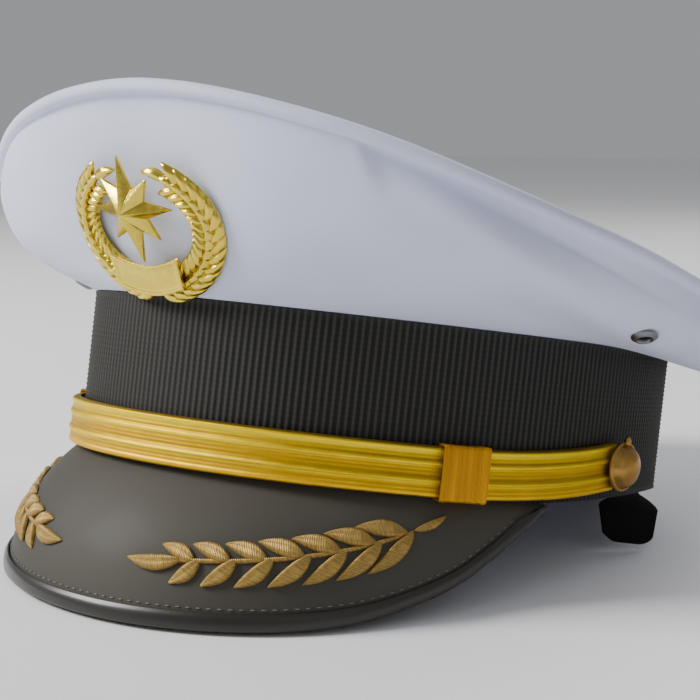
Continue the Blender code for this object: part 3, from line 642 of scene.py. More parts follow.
def keeper_finish(colour):
    """Braid wound across the strap, its threads side by side."""
    material = plain("keeper_braid", colour, 0.45, metallic=0.7)
    uv = coordinates(material, "UV")
    along = mapped(material, uv, scale=(1.0, 0.05, 1.0))
    tone = ramp(
        material, grain(material, along, 450.0),
        ((0.3, toned(colour, 0.7)), (0.55, colour), (0.75, toned(colour, 1.5))),
    )
    drive(material, tone, "Base Color")
    relief(material, bands(material, uv, 0.0007, "X"), 0.00015, 0.8)
    return material


def thread_finish(colour):
    """Satin stitch: lustrous threads laid side by side across each leaf."""
    material = plain("gold_thread", colour, 0.45, metallic=0.55)
    uv = coordinates(material, "UV")
    lie = mapped(material, uv, rotation=(0, 0, 0.5))
    streak = mapped(material, lie, scale=(1.0, 0.12, 1.0))
    tone = ramp(
        material, grain(material, streak, 2600.0, 2.0),
        ((0.25, toned(colour, 0.55)), (0.5, colour), (0.75, toned(colour, 1.5))),
    )
    drive(material, tone, "Base Color")
    relief(material, bands(material, lie, 0.00045, "X"), 0.00012, 0.8)
    return material


def metal_finish(name, colour, roughness):
    """Cast and polished metal with faint unevenness in its gloss."""
    material = plain(name, colour, roughness, metallic=1.0)
    where = coordinates(material, "Object")
    wear = grain(material, where, 260.0, 4.0)
    mottle(material, wear, "Base Color", toned(colour, 0.85), toned(colour, 1.08))
    mottle(material, wear, "Roughness", grey(roughness * 0.8), grey(roughness * 1.4))
    relief(material, grain(material, where, 700.0, 2.0), 0.00015, 0.3)
    return material


def round_profile(radius, sides):
    turns = [2 * math.pi * k / sides for k in range(sides)]
    return [(radius * math.cos(turn), radius * math.sin(turn)) for turn in turns]


def cut_profile(points, steps):
    """A closed outline through a few points, its sides cut into steps."""
    cut = []
    for (ax, ay), (bx, by) in zip(points, points[1:] + points[:1]):
        cut += [(ax + (bx - ax) * k / steps, ay + (by - ay) * k / steps) for k in range(steps)]
    return cut


def swept(profile, path, columns, closed=False, span=(1.0, 1.0)):
    """Sweeps a closed outline of (out, up) points along path(u) = (origin, out, up)."""
    count = len(profile)

    def place(u, w):
        out, up = profile[round(w * count) % count]
        origin, out_axis, up_axis = path(u)
        return origin + out_axis * out + up_axis * up

    bm = sheet(columns, count, place, closed=True, span=span)
    if not closed:
        fill_ends(bm)
    return bm


@lru_cache(maxsize=None)
def lengths_round(around, lengthways, steps=720):
    """Angles round an oval and how far round it each lies, as shares of the whole."""
    angles = np.linspace(0, 2 * math.pi, steps + 1)
    spots = np.stack([around / 2 * np.sin(angles), -lengthways / 2 * np.cos(angles)])
    gone = np.concatenate([[0], np.cumsum(np.hypot(*np.diff(spots)))])
    return np.degrees(angles), gone / gone[-1], gone[-1]


def angle_round(size, share):
    """The angle that lies a share of the band's length round it."""
    angles, gone, whole = lengths_round(size.band_width, size.band_length)
    return float(np.interp(share, gone, angles))


def band_around(size):
    return lengths_round(size.band_width, size.band_length)[2]


TUCK_ROWS = 4
WALL_COLUMNS = 480
WALL_ROWS = 60
WALL_SECTION = 0.08  # mean length of the wall's section, as a share of the way round
EYELET_SEAT = (73, 0.52)  # angle, and share of the wall's section from the band to the rim
EYELET_TUBE = 0.0006  # thickness


def soft_wall(size, angle, share):
    """The crown wall's face with its soft folds, which fade out at its seams."""
    point = wall_point(size, angle, share)
    fade = min(1.0, 8 * share, 14 * (1 - share))
    height = wall_folds(angle, share) + 0.16 * noise.noise(point * 28)
    return point + wall_normal(size, angle, share) * height * size.fold_depth * fade


def eyelet_frame(size, side):
    """Stands an eyelet upright on the crown wall's face."""
    angle, share = EYELET_SEAT
    return standing(soft_wall(size, side * angle, share), wall_normal(size, side * angle, share))


def rim_around(size):
    """The way round the rim, near enough."""
    return math.pi * (size.crown_length + size.crown_width) / 2


def build_crown_wall(size, cloth):
    """The wall rises inside the band, goes over its top edge and out to the rim."""
    foot, top = size.band_height - size.crown_tuck, size.band_height + GAP
    rows = WALL_ROWS + TUCK_ROWS
    around = rim_around(size)

    def place(u, w):
        row = round(w * rows)
        if row < TUCK_ROWS:
            height = foot + (top - foot) * row / (TUCK_ROWS - 1)
            return band_point(size, 360 * u, -size.band_wall - GAP, height)
        return soft_wall(size, 360 * u, (row - TUCK_ROWS) / WALL_ROWS)

    bm = sheet(WALL_COLUMNS, rows, place, closed=True, span=(around, around * WALL_SECTION))
    area = sum(face.calc_area() for face in bm.faces)
    reach = size.eyelet_hole / 2 + EYELET_TUBE
    for side in (1, -1):
        seat = eyelet_frame(size, side).translation
        near = [f for f in bm.faces if (f.calc_center_median() - seat).length < reach]
        bmesh.ops.delete(bm, geom=near, context="FACES")
    thicken(bm, size.crown_cloth)
    wall = settle("crown_wall_cloth", bm, cloth, ("crown_wall",))


def build_crown_rim(size, cloth):
    """The rolled rim, a little uneven where the cloth is drawn over its cord."""
    def path(u):
        angle = 360 * u
        along = (rim_point(size, angle + 1) - rim_point(size, angle - 1)).normalized()
        out = along.cross(Vector((0, 0, 1))).normalized()
        spot = rim_point(size, angle)
        full = 1 + 0.05 * noise.noise(spot * 60)
        return spot, out * full, out.cross(along) * full

    profile = round_profile(size.rim_roll / 2, 18)
    span = (rim_around(size), math.pi * size.rim_roll)
    bm = swept(profile, path, 420, closed=True, span=span)
    settle("crown_rim_roll", bm, cloth, ("crown_rim",))


def build_crown_top(size, cloth):
    """The top hangs between the rim's heights as a stretched skin does."""
    columns, rings, middle_share, unevenness = 240, 44, 0.02, 0.0004
    angles = [360 * k / columns for k in range(columns)]
    heights = np.array([rim_point(size, angle).z for angle in angles])
    waves = np.fft.rfft(heights) / columns
    order = np.arange(len(waves))
    weight = np.where(order == 0, 1.0, 2.0)
    middle = Vector((0, size.crown_backward, 0))

    def place(u, w):
        angle = 360 * u
        share = 1 - w * (1 - middle_share)
        edge = rim_point(size, angle)
        inward = (middle - edge).to_2d().normalized().to_3d()
        edge = edge + inward * (size.rim_roll / 2 + GAP)
        point = middle.lerp(edge, share)
        skin = (weight * share**order * waves * np.exp(1j * order * math.radians(angle))).real.sum()
        fade = min(1.0, 10 * (1 - share))
        waver = unevenness * noise.noise(Vector((point.x, point.y, 0)) * 25)
        point.z = skin + size.crown_dome * (1 - share**2) + waver * fade
        return point

    bm = sheet(columns, rings, place, closed=True)
    uv = bm.loops.layers.uv.active
    for face in bm.faces:
        for loop in face.loops:
            loop[uv].uv = loop.vert.co.xy
    near = 2 * middle_share * size.crown_length
    inmost = [e for e in bm.edges if e.is_boundary and (e.verts[0].co - middle).to_2d().length < near]
    bmesh.ops.holes_fill(bm, edges=inmost, sides=0)
    area = sum(face.calc_area() for face in bm.faces)
    thicken(bm, size.crown_cloth)
    top = settle("crown_top_cloth", bm, cloth, ("crown_top",))


def build_eyelet(size, side, metal):
    """A metal ring with a rounded lip, and a tube that goes through the wall."""
    hole, rim = size.eyelet_hole / 2, size.eyelet_diameter / 2
    seat, lip, foot = 0.0002, 0.0011, -2 * size.crown_cloth
    profile = [
        (hole, foot), (hole, seat), (hole + 0.00015, seat + lip * 0.7), (hole + 0.0005, seat + lip),
        (hole + 0.001, seat + lip * 0.95), (rim - 0.0005, seat + lip * 0.55),
        (rim - 0.0001, seat + lip * 0.3), (rim, seat),
        (hole + EYELET_TUBE, seat), (hole + EYELET_TUBE, foot),
    ]
    bm = lathe(profile, 40)
    bm.transform(eyelet_frame(size, side))
    name = f"vent_eyelet_{side_name(side)}"
    settle(name + "_metal", bm, metal, (name,))


def rib_pitch(size):
    """The pitch that fits a whole number of ribs round the band."""
    return band_around(size) / round(band_around(size) / size.rib_pitch)


def build_band(size, webbing):
    """One closed sheet: a ribbed outer face with thread beads, and a plain back."""
    ribs = round(band_around(size) / size.rib_pitch)
    beads = round(size.band_height / size.bead_pitch)
    columns, outer, back = 4 * ribs, 2 * beads, 4
    rows = outer + back
    selvage = 0.0009  # plain edge above and below the ribs

    def place(u, w):
        row = round(w * rows) % rows
        angle = angle_round(size, u)
        foot = band_foot(size, angle)
        if row > outer:
            up = (rows - row - 0.5) / (back - 1)
            return band_point(size, angle, -size.band_wall, foot + (size.band_height - foot) * up)
        z = foot + (size.band_height - foot) * row / outer
        edge = min(1.0, (z - foot) / selvage, (size.band_height - z) / selvage)
        rib = 0.5 + 0.5 * math.cos(2 * math.pi * ribs * u)
        bead = 1.0 if row % 2 else 0.4
        return band_point(size, angle, size.rib_depth * (rib * bead - 1) * edge, z)

    bm = sheet(columns, rows, place, closed=True, span=(band_around(size), size.band_height))
    settle("band_webbing", bm, webbing, ("band",), sharp=70)


def binding_reach(size, angle):
    """How far the binding reaches over the peak, less where the peak is short."""
    return min(size.binding_depth, peak_section(size, angle)[1].length / 2)


def build_peak(size, leather):
    """A thick sheet from inside the band's lower edge down to the binding."""
    columns, rows = 200, 36
    tuck = size.band_wall / 2

    def place(u, w):
        angle = PEAK_HALF_ANGLE * (1 - 2 * u)
        row, chord = round(w * rows), peak_section(size, angle)[1].length
        if row == 0:
            return band_point(size, angle, -tuck, band_foot(size, angle) + tuck)
        last = 1 - (size.binding_leather + BINDING_CLEARANCE) / chord
        return peak_point(size, angle, last * (row - 1) / (rows - 1))

    bm = sheet(columns, rows, place)
    thicken(bm, size.peak_leather)
    settle("peak_leather", bm, leather, ("peak",), sharp=50)


def build_peak_binding(size, leather):
    """A padded strip of leather folded round the peak's edge."""
    wall, sides = size.binding_leather, 26
    upper, lower = BINDING_CLEARANCE, -size.peak_leather - BINDING_CLEARANCE

    def place(u, w):
        angle = BINDING_HALF_ANGLE * (2 * u - 1)
        reach = binding_reach(size, angle)
        corners = [
            (reach, upper), (reach, upper + wall * 0.5), (reach * 0.75, upper + wall * 1.15),
            (reach * 0.35, upper + wall * 1.1), (wall * 0.6, upper + wall * 0.75),
            (0, -size.peak_leather * 0.25), (0, -size.peak_leather * 0.75),
            (wall * 0.6, lower - wall * 0.75), (reach * 0.5, lower - wall * 1.1),
            (reach, lower - wall * 0.5), (reach, lower), (wall, lower), (wall, upper),
        ]
        profile = cut_profile(corners, 2)
        inset, height = profile[round(w * sides) % sides]
        return inset_point(size, angle, inset, height)

    bm = sheet(240, sides, place, closed=True)
    fill_ends(bm)
    settle("peak_binding_leather", bm, leather, ("peak_binding",), sharp=60)


def build_stitches(size, thread):
    """A row of short stitches in the peak, just inside its binding."""
    end = BINDING_HALF_ANGLE - 6
    beside, proud = 0.0011, 0.00012  # in from the binding, and above the peak
    half_wide, half_thick = 0.00022, 0.00018
    angles = np.linspace(-end, end, 600)
    spots = [inset_point(size, a, binding_reach(size, a) + beside, proud) for a in angles]
    gone = np.concatenate([[0], np.cumsum([(b - a).length for a, b in zip(spots, spots[1:])])])
    bm = bmesh.new()
    for k in range(int(gone[-1] / size.stitch_pitch)):
        angle = float(np.interp((k + 0.5) * size.stitch_pitch, gone, angles))
        inset = binding_reach(size, angle) + beside
        here = inset_point(size, angle, inset, proud)
        along = inset_point(size, angle + 0.5, inset) - inset_point(size, angle - 0.5, inset)
        along.normalize()
        out = peak_normal(size, angle, 1 - inset / peak_section(size, angle)[1].length)
        lie = Matrix.Translation(here) @ axes_matrix(along, out.cross(along), out)
        shape = Matrix.Diagonal((size.stitch_length / 2, half_wide, half_thick, 1))
        bmesh.ops.create_uvsphere(bm, u_segments=6, v_segments=5, radius=1, matrix=lie @ shape)
    settle("peak_stitches", bm, thread, sharp=180)


BUTTON_ANGLE = 90
KEEPER_ANGLE = 56.6
STRAP_LIFT_ANGLE = 55  # from here on the strap climbs to the buttons
STRAP_FOOT = 0.0004
STRAP_CLIMB = 0.005
BUTTON_SHANK = 0.002  # radius

# Where across the strap a cord or a raised edge lies, its reach and its height beside a cord's
STRAP_RIDGES = ((0.33, 0.045, 1.0), (0.67, 0.045, 1.0), (0.93, 0.05, 0.55), (0.07, 0.05, 0.4))
# Where along a keeper it is rolled outwards, the roll's reach and its height beside the ends'
KEEPER_ROLLS = ((0.07, 0.06, 1.0), (0.93, 0.06, 1.0), (0.74, 0.04, 0.6))
KEEPER_ROLL = 0.00022  # height of the rolled ends


def strap_back(size):
    """The strap lies on the backs of its keepers."""
    return GAP + size.keeper_wall + GAP


def strap_foot(angle):
    """The height of the strap's lower edge, which climbs to the buttons."""
    climb = max(0.0, (abs(angle) - STRAP_LIFT_ANGLE) / (BUTTON_ANGLE - STRAP_LIFT_ANGLE))
    return STRAP_FOOT + STRAP_CLIMB * climb**2


def strap_face(size, across):
    """Height of the strap's face at a share of its width, its corners rounded off."""
    corner, side_wall = 0.05, 0.55  # share of the width, and of the thickness left at the very edge
    full = side_wall + (1 - side_wall) * math.sqrt(min(1.0, across / corner, (1 - across) / corner))
    return size.strap_thickness * full + size.strap_ridge * ridges(STRAP_RIDGES, across)


def build_strap(size, braid):
    """Satin braid along the foot of the band, with two raised cords."""
    fine = 44
    face = [(strap_face(size, k / fine), size.strap_width * k / fine) for k in range(fine + 1)]
    profile = [(0, 0), *face, (0, size.strap_width), (0, size.strap_width / 2)]
    end = BUTTON_ANGLE - (BUTTON_SHANK + GAP) / per_degree(size, BUTTON_ANGLE)
    whole = 2 * end * per_degree(size, 45)

    def path(u):
        angle = end * (2 * u - 1)
        lift = Vector((0, 0, strap_foot(angle)))
        spot = band_point(size, angle, strap_back(size)) + lift
        full = 1 + 0.07 * noise.noise(Vector((angle * 0.35, 0, 0)))
        return spot, band_normal(size, angle) * full, Vector((0, 0, 1))

    bm = swept(profile, path, 320, span=(whole, size.strap_width * len(profile) / fine))
    settle("chin_strap_braid", bm, braid, ("chin_strap",), sharp=70)


def build_keeper(size, side, braid):
    """A flat loop of braid round the strap, its two ends rolled."""
    back = strap_back(size) - GAP
    front = strap_back(size) + size.strap_thickness + 2 * size.strap_ridge + GAP
    wall, tall = size.keeper_wall, size.strap_width
    half = size.keeper_length / 2 / per_degree(size, KEEPER_ANGLE)
    corners = [
        (back - wall * 0.8, -wall * 0.9), (front + wall * 0.3, -wall * 0.9),
        (front + wall, -wall * 0.2), (front + wall * 1.2, tall * 0.3),
        (front + wall * 1.2, tall * 0.7), (front + wall, tall + wall * 0.2),
        (front + wall * 0.3, tall + wall * 0.9), (back - wall * 0.8, tall + wall * 0.9),
    ]
    profile = cut_profile(corners, 5)
    centre = Vector(((back + front) / 2, tall / 2))

    def place(u, w):
        angle = side * (KEEPER_ANGLE + half * (2 * u - 1))
        out, up = profile[round(w * len(profile)) % len(profile)]
        away = (Vector((out, up)) - centre).normalized() * KEEPER_ROLL * ridges(KEEPER_ROLLS, u)
        if out < back:
            away.x = 0
        return band_point(size, angle, out + away.x, strap_foot(angle) + up + away.y)

    bm = sheet(36, len(profile), place, closed=True, span=(size.keeper_length, 2 * tall))
    angle = side * KEEPER_ANGLE
    turn_outwards(bm, band_point(size, angle, front / 2, strap_foot(angle) + tall / 2))
    thicken(bm, wall * 0.8)
    name = f"strap_keeper_{side_name(side)}"
    settle(name + "_braid", bm, braid, (name,), sharp=60)


def turn_outwards(bm, middle):
    """Turns the faces of an open tube away from its middle."""
    bm.normal_update()
    bmesh.ops.recalc_face_normals(bm, faces=bm.faces)
    outward = [face.normal.dot(face.calc_center_median() - middle) > 0 for face in bm.faces]
    if sum(outward) < len(outward) / 2:
        bmesh.ops.reverse_faces(bm, faces=bm.faces)


def side_name(side):
    return "left" if side > 0 else "right"


def build_button(size, side, metal):
    """A domed button with a turned edge and a small knob, on a shank beside the strap's end."""
    radius, plate, dome = size.button_diameter / 2, 0.0012, size.button_dome
    under = strap_back(size) + size.strap_thickness + size.strap_ridge + GAP
    edge = under + plate
    profile = [
        (0, GAP), (BUTTON_SHANK, GAP), (BUTTON_SHANK, under), (radius * 0.9, under),
        (radius * 0.97, under + 0.0001), (radius, under + 0.0004), (radius, edge - 0.0004),
        (radius * 0.97, edge), (radius * 0.9, edge + 0.0001), (radius * 0.86, edge - 0.00025),
        (radius * 0.82, edge),
    ]
    for share in (0.78, 0.7, 0.6, 0.5, 0.4, 0.3, 0.22, 0.14, 0.07):
        profile.append((radius * share, edge + dome * math.sqrt(1 - (share / 0.84) ** 2)))
    profile.append((0, edge + dome))
    bm = lathe(profile, 56)
    knob = Matrix.Translation((0, radius * 0.99, edge)) @ Matrix.Diagonal((0.0011, 0.0017, 0.0011, 1))
    bmesh.ops.create_uvsphere(bm, u_segments=16, v_segments=10, radius=1, matrix=knob)
    angle = side * BUTTON_ANGLE
    seat = band_point(size, angle, 0, strap_foot(BUTTON_ANGLE) + size.strap_width / 2)
    bm.transform(standing(seat, band_normal(size, angle)))
    name = f"side_button_{side_name(side)}"
    settle(name + "_metal", bm, metal, (name,), sharp=50)


# A leaf starts at a distance along its stem, on one side of it, and points ahead or back.
Leaf = namedtuple("Leaf", "at side ahead length width angle raised")
# Its greatest height, how far its foot lies off the stem's middle, the cuts of its grid along
# and round it, and the depth of its middle groove as a share of its height. A ridge is below 0.
LeafForm = namedtuple("LeafForm", "relief base columns sides groove")
STITCHED = LeafForm(0.0015, 0, 26, 18, 0.45)
STRUCK = LeafForm(0.0017, 0, 10, 10, -0.5)


def add_leaf(bm, leaf, place, form):
    """A pointed leaf, as a closed shape laid through place(along, across, height)."""
    lean = math.radians(leaf.angle)
    axis = Vector((leaf.ahead * math.cos(lean), leaf.side * math.sin(lean)))
    cross = Vector((-axis.y, axis.x))
    start = Vector((leaf.at, leaf.side * form.base))

    def shaped(u, w):
        full = math.sin(math.pi * u**0.85) ** 0.85 if 0 < u < 1 else 0.0
        turn = 2 * math.pi * w
        across, lift = math.cos(turn), max(0.0, math.sin(turn))
        dent = 1 - form.groove * swelling(across, 0.22)
        bow = leaf.side * leaf.ahead * 0.06 * leaf.length * math.sin(math.pi * u)
        spot = start + axis * leaf.length * u + cross * (leaf.width / 2 * full * across + bow)
        return place(spot.x, spot.y, leaf.raised + form.relief * full**0.6 * lift**0.7 * dent)

    span = (leaf.length, 2.4 * leaf.width)
    append(bm, sheet(form.columns, form.sides, shaped, closed=True, span=span))


def append(bm, part):
    """Adds one bmesh to another, with its UV map."""
    mesh = bpy.data.meshes.new("part")
    part.normal_update()
    bmesh.ops.recalc_face_normals(part, faces=part.faces)
    part.to_mesh(mesh)
    part.free()
    bm.from_mesh(mesh)
    bpy.data.meshes.remove(mesh)


def branch(place, start, end, width, height, columns):
    """A new bmesh that holds a branch's stem, half round and pointed at both ends."""
    def shaped(u, w):
        turn = 2 * math.pi * w
        full = min(1.0, 12 * u, 12 * (1 - u))
        across, lift = width / 2 * full * math.cos(turn), height * full * max(0.0, math.sin(turn))
        return place(start + (end - start) * u, across, lift)

    bm = bmesh.new()
    bm.loops.layers.uv.new("UVMap")
    append(bm, sheet(columns, 10, shaped, closed=True, span=(end - start, 2.4 * width)))
    return bm


def laurel_route(size, steps=60):
    """Distances along the branch's route, and the angle and share down at each."""
    route = [curve_through(LAUREL_ROUTE, k / steps) for k in range(steps + 1)]
    points = [peak_point(size, angle, down) for angle, down in route]
    gone = np.cumsum([0.0] + [(b - a).length for a, b in zip(points, points[1:])])
    return gone, np.array(route)


def build_laurel(size, side, thread):
    """A branch in padded satin stitch, mirrored from one side of the peak to the other."""
    gone, route = laurel_route(size)
    whole = gone[-1]

    def on_route(along):
        return [float(np.interp(along, gone, column)) for column in route.T]

    @lru_cache(maxsize=None)
    def axes(along):
        angle, down = on_route(along)
        here = peak_point(size, angle, down)
        step = 0.01 * whole
        ahead, behind = on_route(min(along + step, whole)), on_route(max(along - step, 0))
        tangent = (peak_point(size, *ahead) - peak_point(size, *behind)).normalized()
        sideways = peak_normal(size, angle, down).cross(tangent)
        around = peak_point(size, angle + 1, down) - here
        downward = (peak_point(size, angle, down + 0.05) - here) / 0.05
        turning, falling = (sideways.dot(way) / way.length_squared for way in (around, downward))
        return angle, down, turning, falling

    def place(along, across, height):
        angle, down, turning, falling = axes(round(along, 5))
        point = peak_point(size, angle + turning * across, down + falling * across, GAP / 2 + height)
        point.x *= side
        return point

    leaf, wide, pairs, overlap = size.laurel_leaf, size.laurel_leaf_width, 7, 0.0002
    start, end = leaf * 1.05, whole - leaf
    bm = branch(place, start, end, width=0.0014, height=0.0008, columns=80)
    for k in range(pairs):
        f = k / (pairs - 1)
        at, raised = start + (end - start) * (0.02 + 0.83 * f), overlap * (k % 2)
        full, broad = leaf * (1.62 - 0.5 * f), wide * (1.1 - 0.12 * f)
        upper = Leaf(at - 0.0006, 1, 1, full * (1 - 0.15 * f), broad, 28 + 12 * f, raised)
        lower = Leaf(at + 0.001, -1, 1, full * 0.95, broad, 23, raised)
        for pair_leaf in (upper, lower):
            add_leaf(bm, pair_leaf, place, STITCHED._replace(base=-0.0002))
    tip = Leaf(end - 0.006, 1, 1, leaf * 1.55, wide, 0, overlap)
    bud = Leaf(start + 0.0005, 1, -1, leaf * 1.05, wide * 0.6, 0, 0)
    add_leaf(bm, tip, place, STITCHED)
    add_leaf(bm, bud, place, STITCHED._replace(relief=0.0012, groove=0.1))
    name = f"laurel_{side_name(side)}"
    settle(name + "_thread", bm, thread, (name,), sharp=80)


BADGE_CURVE = 0.150  # radius
BADGE_LEAN = 7  # degrees by which it leans back from the wall
BADGE_SEAT = 0.42  # share of the wall's section
BADGE_STEM = 0.0014 + 0.0008 + GAP  # the star and the scroll lie this far above the badge's back
BadgeLie = namedtuple("BadgeLie", "middle up out")


def badge_bend(across):
    return across**2 / (2 * BADGE_CURVE)


def badge_lie(size):
    """Where the badge's back lies, just clear of the wall and the band behind it."""
    middle = wall_point(size, 0, BADGE_SEAT)
    out = Matrix.Rotation(math.radians(BADGE_LEAN), 3, "X") @ wall_normal(size, 0, BADGE_SEAT)
    up = out.cross(Vector((1, 0, 0)))
    reach = math.degrees(size.badge_width / size.band_width)
    behind = 0.0
    for angle in np.linspace(-reach, reach, 25):
        spots = [wall_point(size, angle, share) for share in np.linspace(0, 1, 41)]
        for spot in [band_point(size, angle, 0, size.band_height), *spots]:
            away = spot - middle
            if abs(away.x) < size.badge_width / 2 and abs(away.dot(up)) < size.badge_height / 2:
                behind = max(behind, away.dot(out) + badge_bend(away.x))
    return BadgeLie(middle + out * (behind + GAP), up, out)


def badge_point(lie, across, up, height):
    """A point of the badge: across and up from its middle, at a height above its back."""
    return lie.middle + Vector((across, 0, 0)) + lie.up * up + lie.out * (height - badge_bend(across))


def build_wreath(size, lie, metal):
    """Two branches of pointed leaves in three overlapping rows, struck in one piece."""
    leaf, nodes, half_turn = 0.0094, 15, math.radians(142)
    inward = 0.0085 * 0.45  # from the wreath's outline to its branches' stems
    half_x, half_y = size.badge_width / 2 - inward, size.badge_height / 2 - inward
    mean = (half_x + half_y) / 2

    def place(along, across, height):
        turn = along / mean
        out = Vector((half_y * math.sin(turn), -half_x * math.cos(turn))).normalized()
        spot = Vector((half_x * math.sin(turn), -half_y * math.cos(turn))) + out * across
        return badge_point(lie, spot.x, spot.y, height)

    reach, wide, raised = mean * half_turn, leaf * 0.34, 0.0004
    first = leaf * 0.1
    beside, between_rows = STRUCK._replace(base=0.0003), STRUCK._replace(relief=0.0014)
    bm = branch(place, -reach, reach, width=0.0022, height=0.0016, columns=120)
    for ahead in (1, -1):
        for k in range(nodes):
            start = ahead * (first + k * (reach - first) / nodes)
            full = leaf * (1.0 - 0.12 * k / nodes)
            add_leaf(bm, Leaf(start, -1, ahead, full, wide, 34, raised), place, beside)
            add_leaf(bm, Leaf(start, 1, ahead, full * 0.92, wide, 34, raised), place, beside)
            add_leaf(bm, Leaf(start, 1, ahead, full * 0.8, leaf * 0.3, 2, 0.0012), place, between_rows)
        add_leaf(bm, Leaf(ahead * reach, 1, ahead, leaf, wide, 0, raised), place, STRUCK)
    settle("badge_wreath_metal", bm, metal, ("badge_wreath",), sharp=35)


def build_star(size, lie, metal):
    """A plain star of eight points, a ridge to each, with softened edges."""
    edge, rise, offset, softened, points = 0.0008, 0.0045, 0.0065, 0.00022, 8
    long_ray, short_ray, notch = 1.0, 0.8, 0.42
    bm = bmesh.new()
    front, back = [], []
    for k in range(2 * points):
        turn, share = math.pi * k / points, (long_ray, notch, short_ray, notch)[k % 4]
        x = math.sin(turn) * size.star_size / 2 * share
        y = math.cos(turn) * size.star_size / 2 * share + offset
        front.append(bm.verts.new(badge_point(lie, x, y, BADGE_STEM + edge)))
        back.append(bm.verts.new(badge_point(lie, x, y, BADGE_STEM)))
    apex = bm.verts.new(badge_point(lie, 0, offset, BADGE_STEM + edge + rise))
    base = bm.verts.new(badge_point(lie, 0, offset, BADGE_STEM))
    for k in range(2 * points):
        n = (k + 1) % (2 * points)
        bm.faces.new((front[k], front[n], apex))
        bm.faces.new((back[k], back[n], base))
        bm.faces.new((front[k], front[n], back[n], back[k]))
    bm.normal_update()
    bmesh.ops.recalc_face_normals(bm, faces=bm.faces)
    bmesh.ops.bevel(
        bm, geom=bm.edges[:], offset=softened, offset_type="OFFSET", segments=2, profile=0.5,
        affect="EDGES", material=-1,
    )
    settle("badge_star_metal", bm, metal, ("badge_star",), sharp=24)


def build_scroll(size, lie, metal):
    """A plain bowed ribbon across the wreath's foot, with a raised border."""
    wide, tall, plate, foot, sag, bead = 0.026, 0.009, 0.0012, 0.005, 0.0025, 0.0004

    def place(u, w):
        bow = sag * (1 - (2 * u - 1) ** 2)
        sides = [swelling(u - at, 0.03) for at in (0.02, 0.98)]
        border = max(*sides, *(swelling(w - at, 0.07) for at in (0.06, 0.94)))
        y = -size.badge_height / 2 + foot + tall * w - bow
        return badge_point(lie, wide * (u - 0.5), y, BADGE_STEM + plate + bead * border)

    bm = sheet(60, 24, place)
    thicken(bm, plate)
    settle("badge_scroll_metal", bm, metal, ("badge_scroll",))


TAB_ANGLE = 104
TAB_TOP = 0.006  # length inside the band
TAB_TURN = 62  # degrees by which its lower part turns forward
TAB_TURN_FROM = 0.0012  # below the band
TAB_TURN_DEPTH = 0.004
TAB_TAPER = 0.25  # share of its width that it loses on the way down
TAB_LEAN = 0.0015  # how far its end lies further back


def build_tab(size, cloth):
    """A padded sheet that hangs from inside the band and turns forward below it."""
    half, long = size.tab_width / 2, TAB_TOP + size.tab_hang
    corner, edge = 0.13, 0.0008  # share of the length that is rounded off, and rounding of the edges

    def place(u, w):
        down, face = (2 * w, 1) if w <= 0.5 else (2 - 2 * w, -1)
        side = 2 * u - 1
        near_end = max(0.0, (down - 1 + corner) / corner)
        rounded = corner * long * near_end * (1 - math.sqrt(1 - 0.9 * abs(side) ** 6))
        below = long * down - TAB_TOP - rounded
        z, fall = band_foot(size, TAB_ANGLE) - below, max(0.0, below / size.tab_hang)
        turn = math.radians(TAB_TURN) * min(1.0, max(0.0, (below - TAB_TURN_FROM) / TAB_TURN_DEPTH))
        narrow = 1 - TAB_TAPER * fall - 0.12 * near_end**3
        angle = TAB_ANGLE + (TAB_LEAN * fall - half * side * narrow) / per_degree(size, TAB_ANGLE)
        from_edge = min(2 * half * min(u, 1 - u), long * min(down, 1 - down))
        thick = size.tab_cloth * math.sqrt(min(1.0, from_edge / edge))
        inside = -size.band_wall - GAP - (size.tab_cloth - face * thick) / 2
        middle = band_point(size, TAB_ANGLE, -size.band_wall - GAP - size.tab_cloth / 2, z)
        return middle + Matrix.Rotation(-turn, 3, "Z") @ (band_point(size, angle, inside, z) - middle)

    bm = sheet(36, 96, place, closed=True, span=(size.tab_width, 2 * long))
    tab = settle("size_tab_cloth", bm, cloth, ("size_tab",), sharp=50)


Lamp = namedtuple("Lamp", "name place width power")
LAMPS = (
    Lamp("key", (-1.15, -1.0, 1.15), 0.7, 46),
    Lamp("fill", (1.4, -0.9, 0.9), 1.2, 1.5),
    Lamp("back", (0.1, 1.4, 1.1), 0.8, 10),
)
LAMP_TARGET = Vector((0, 0, 0.06))
WORLD_COLOUR = (0.96, 0.97, 1.0)
WORLD_STRENGTH = 0.34
FLOOR_COLOUR = (0.93, 0.93, 0.93)
FLOOR_HALF_WIDTH = 6
FLOOR_DEPTH = 0.0005  # below the surface that the cap rests on

# The photo's camera in the cap's own frame: degrees round from the front, above, and of roll
CAMERA_ROUND = 38.1
CAMERA_ABOVE = 1.5
CAMERA_ROLL = -6.36
CAMERA_DISTANCE = 0.52
CAMERA_TARGET = Vector((0, 0, 0.025))
CAMERA_LENS = 80.43
CAMERA_SHIFT = (-0.0474, 0.0604)


def build_floor():
    bm = bmesh.new()
    bmesh.ops.create_grid(bm, x_segments=1, y_segments=1, size=FLOOR_HALF_WIDTH)
    mesh = bpy.data.meshes.new("floor")
    bm.to_mesh(mesh)
    bm.free()
    mesh.materials.append(plain("floor_white", FLOOR_COLOUR, 0.8))
    floor = bpy.data.objects.new("floor", mesh)
    floor.location.z = -FLOOR_DEPTH
    bpy.context.scene.collection.objects.link(floor)


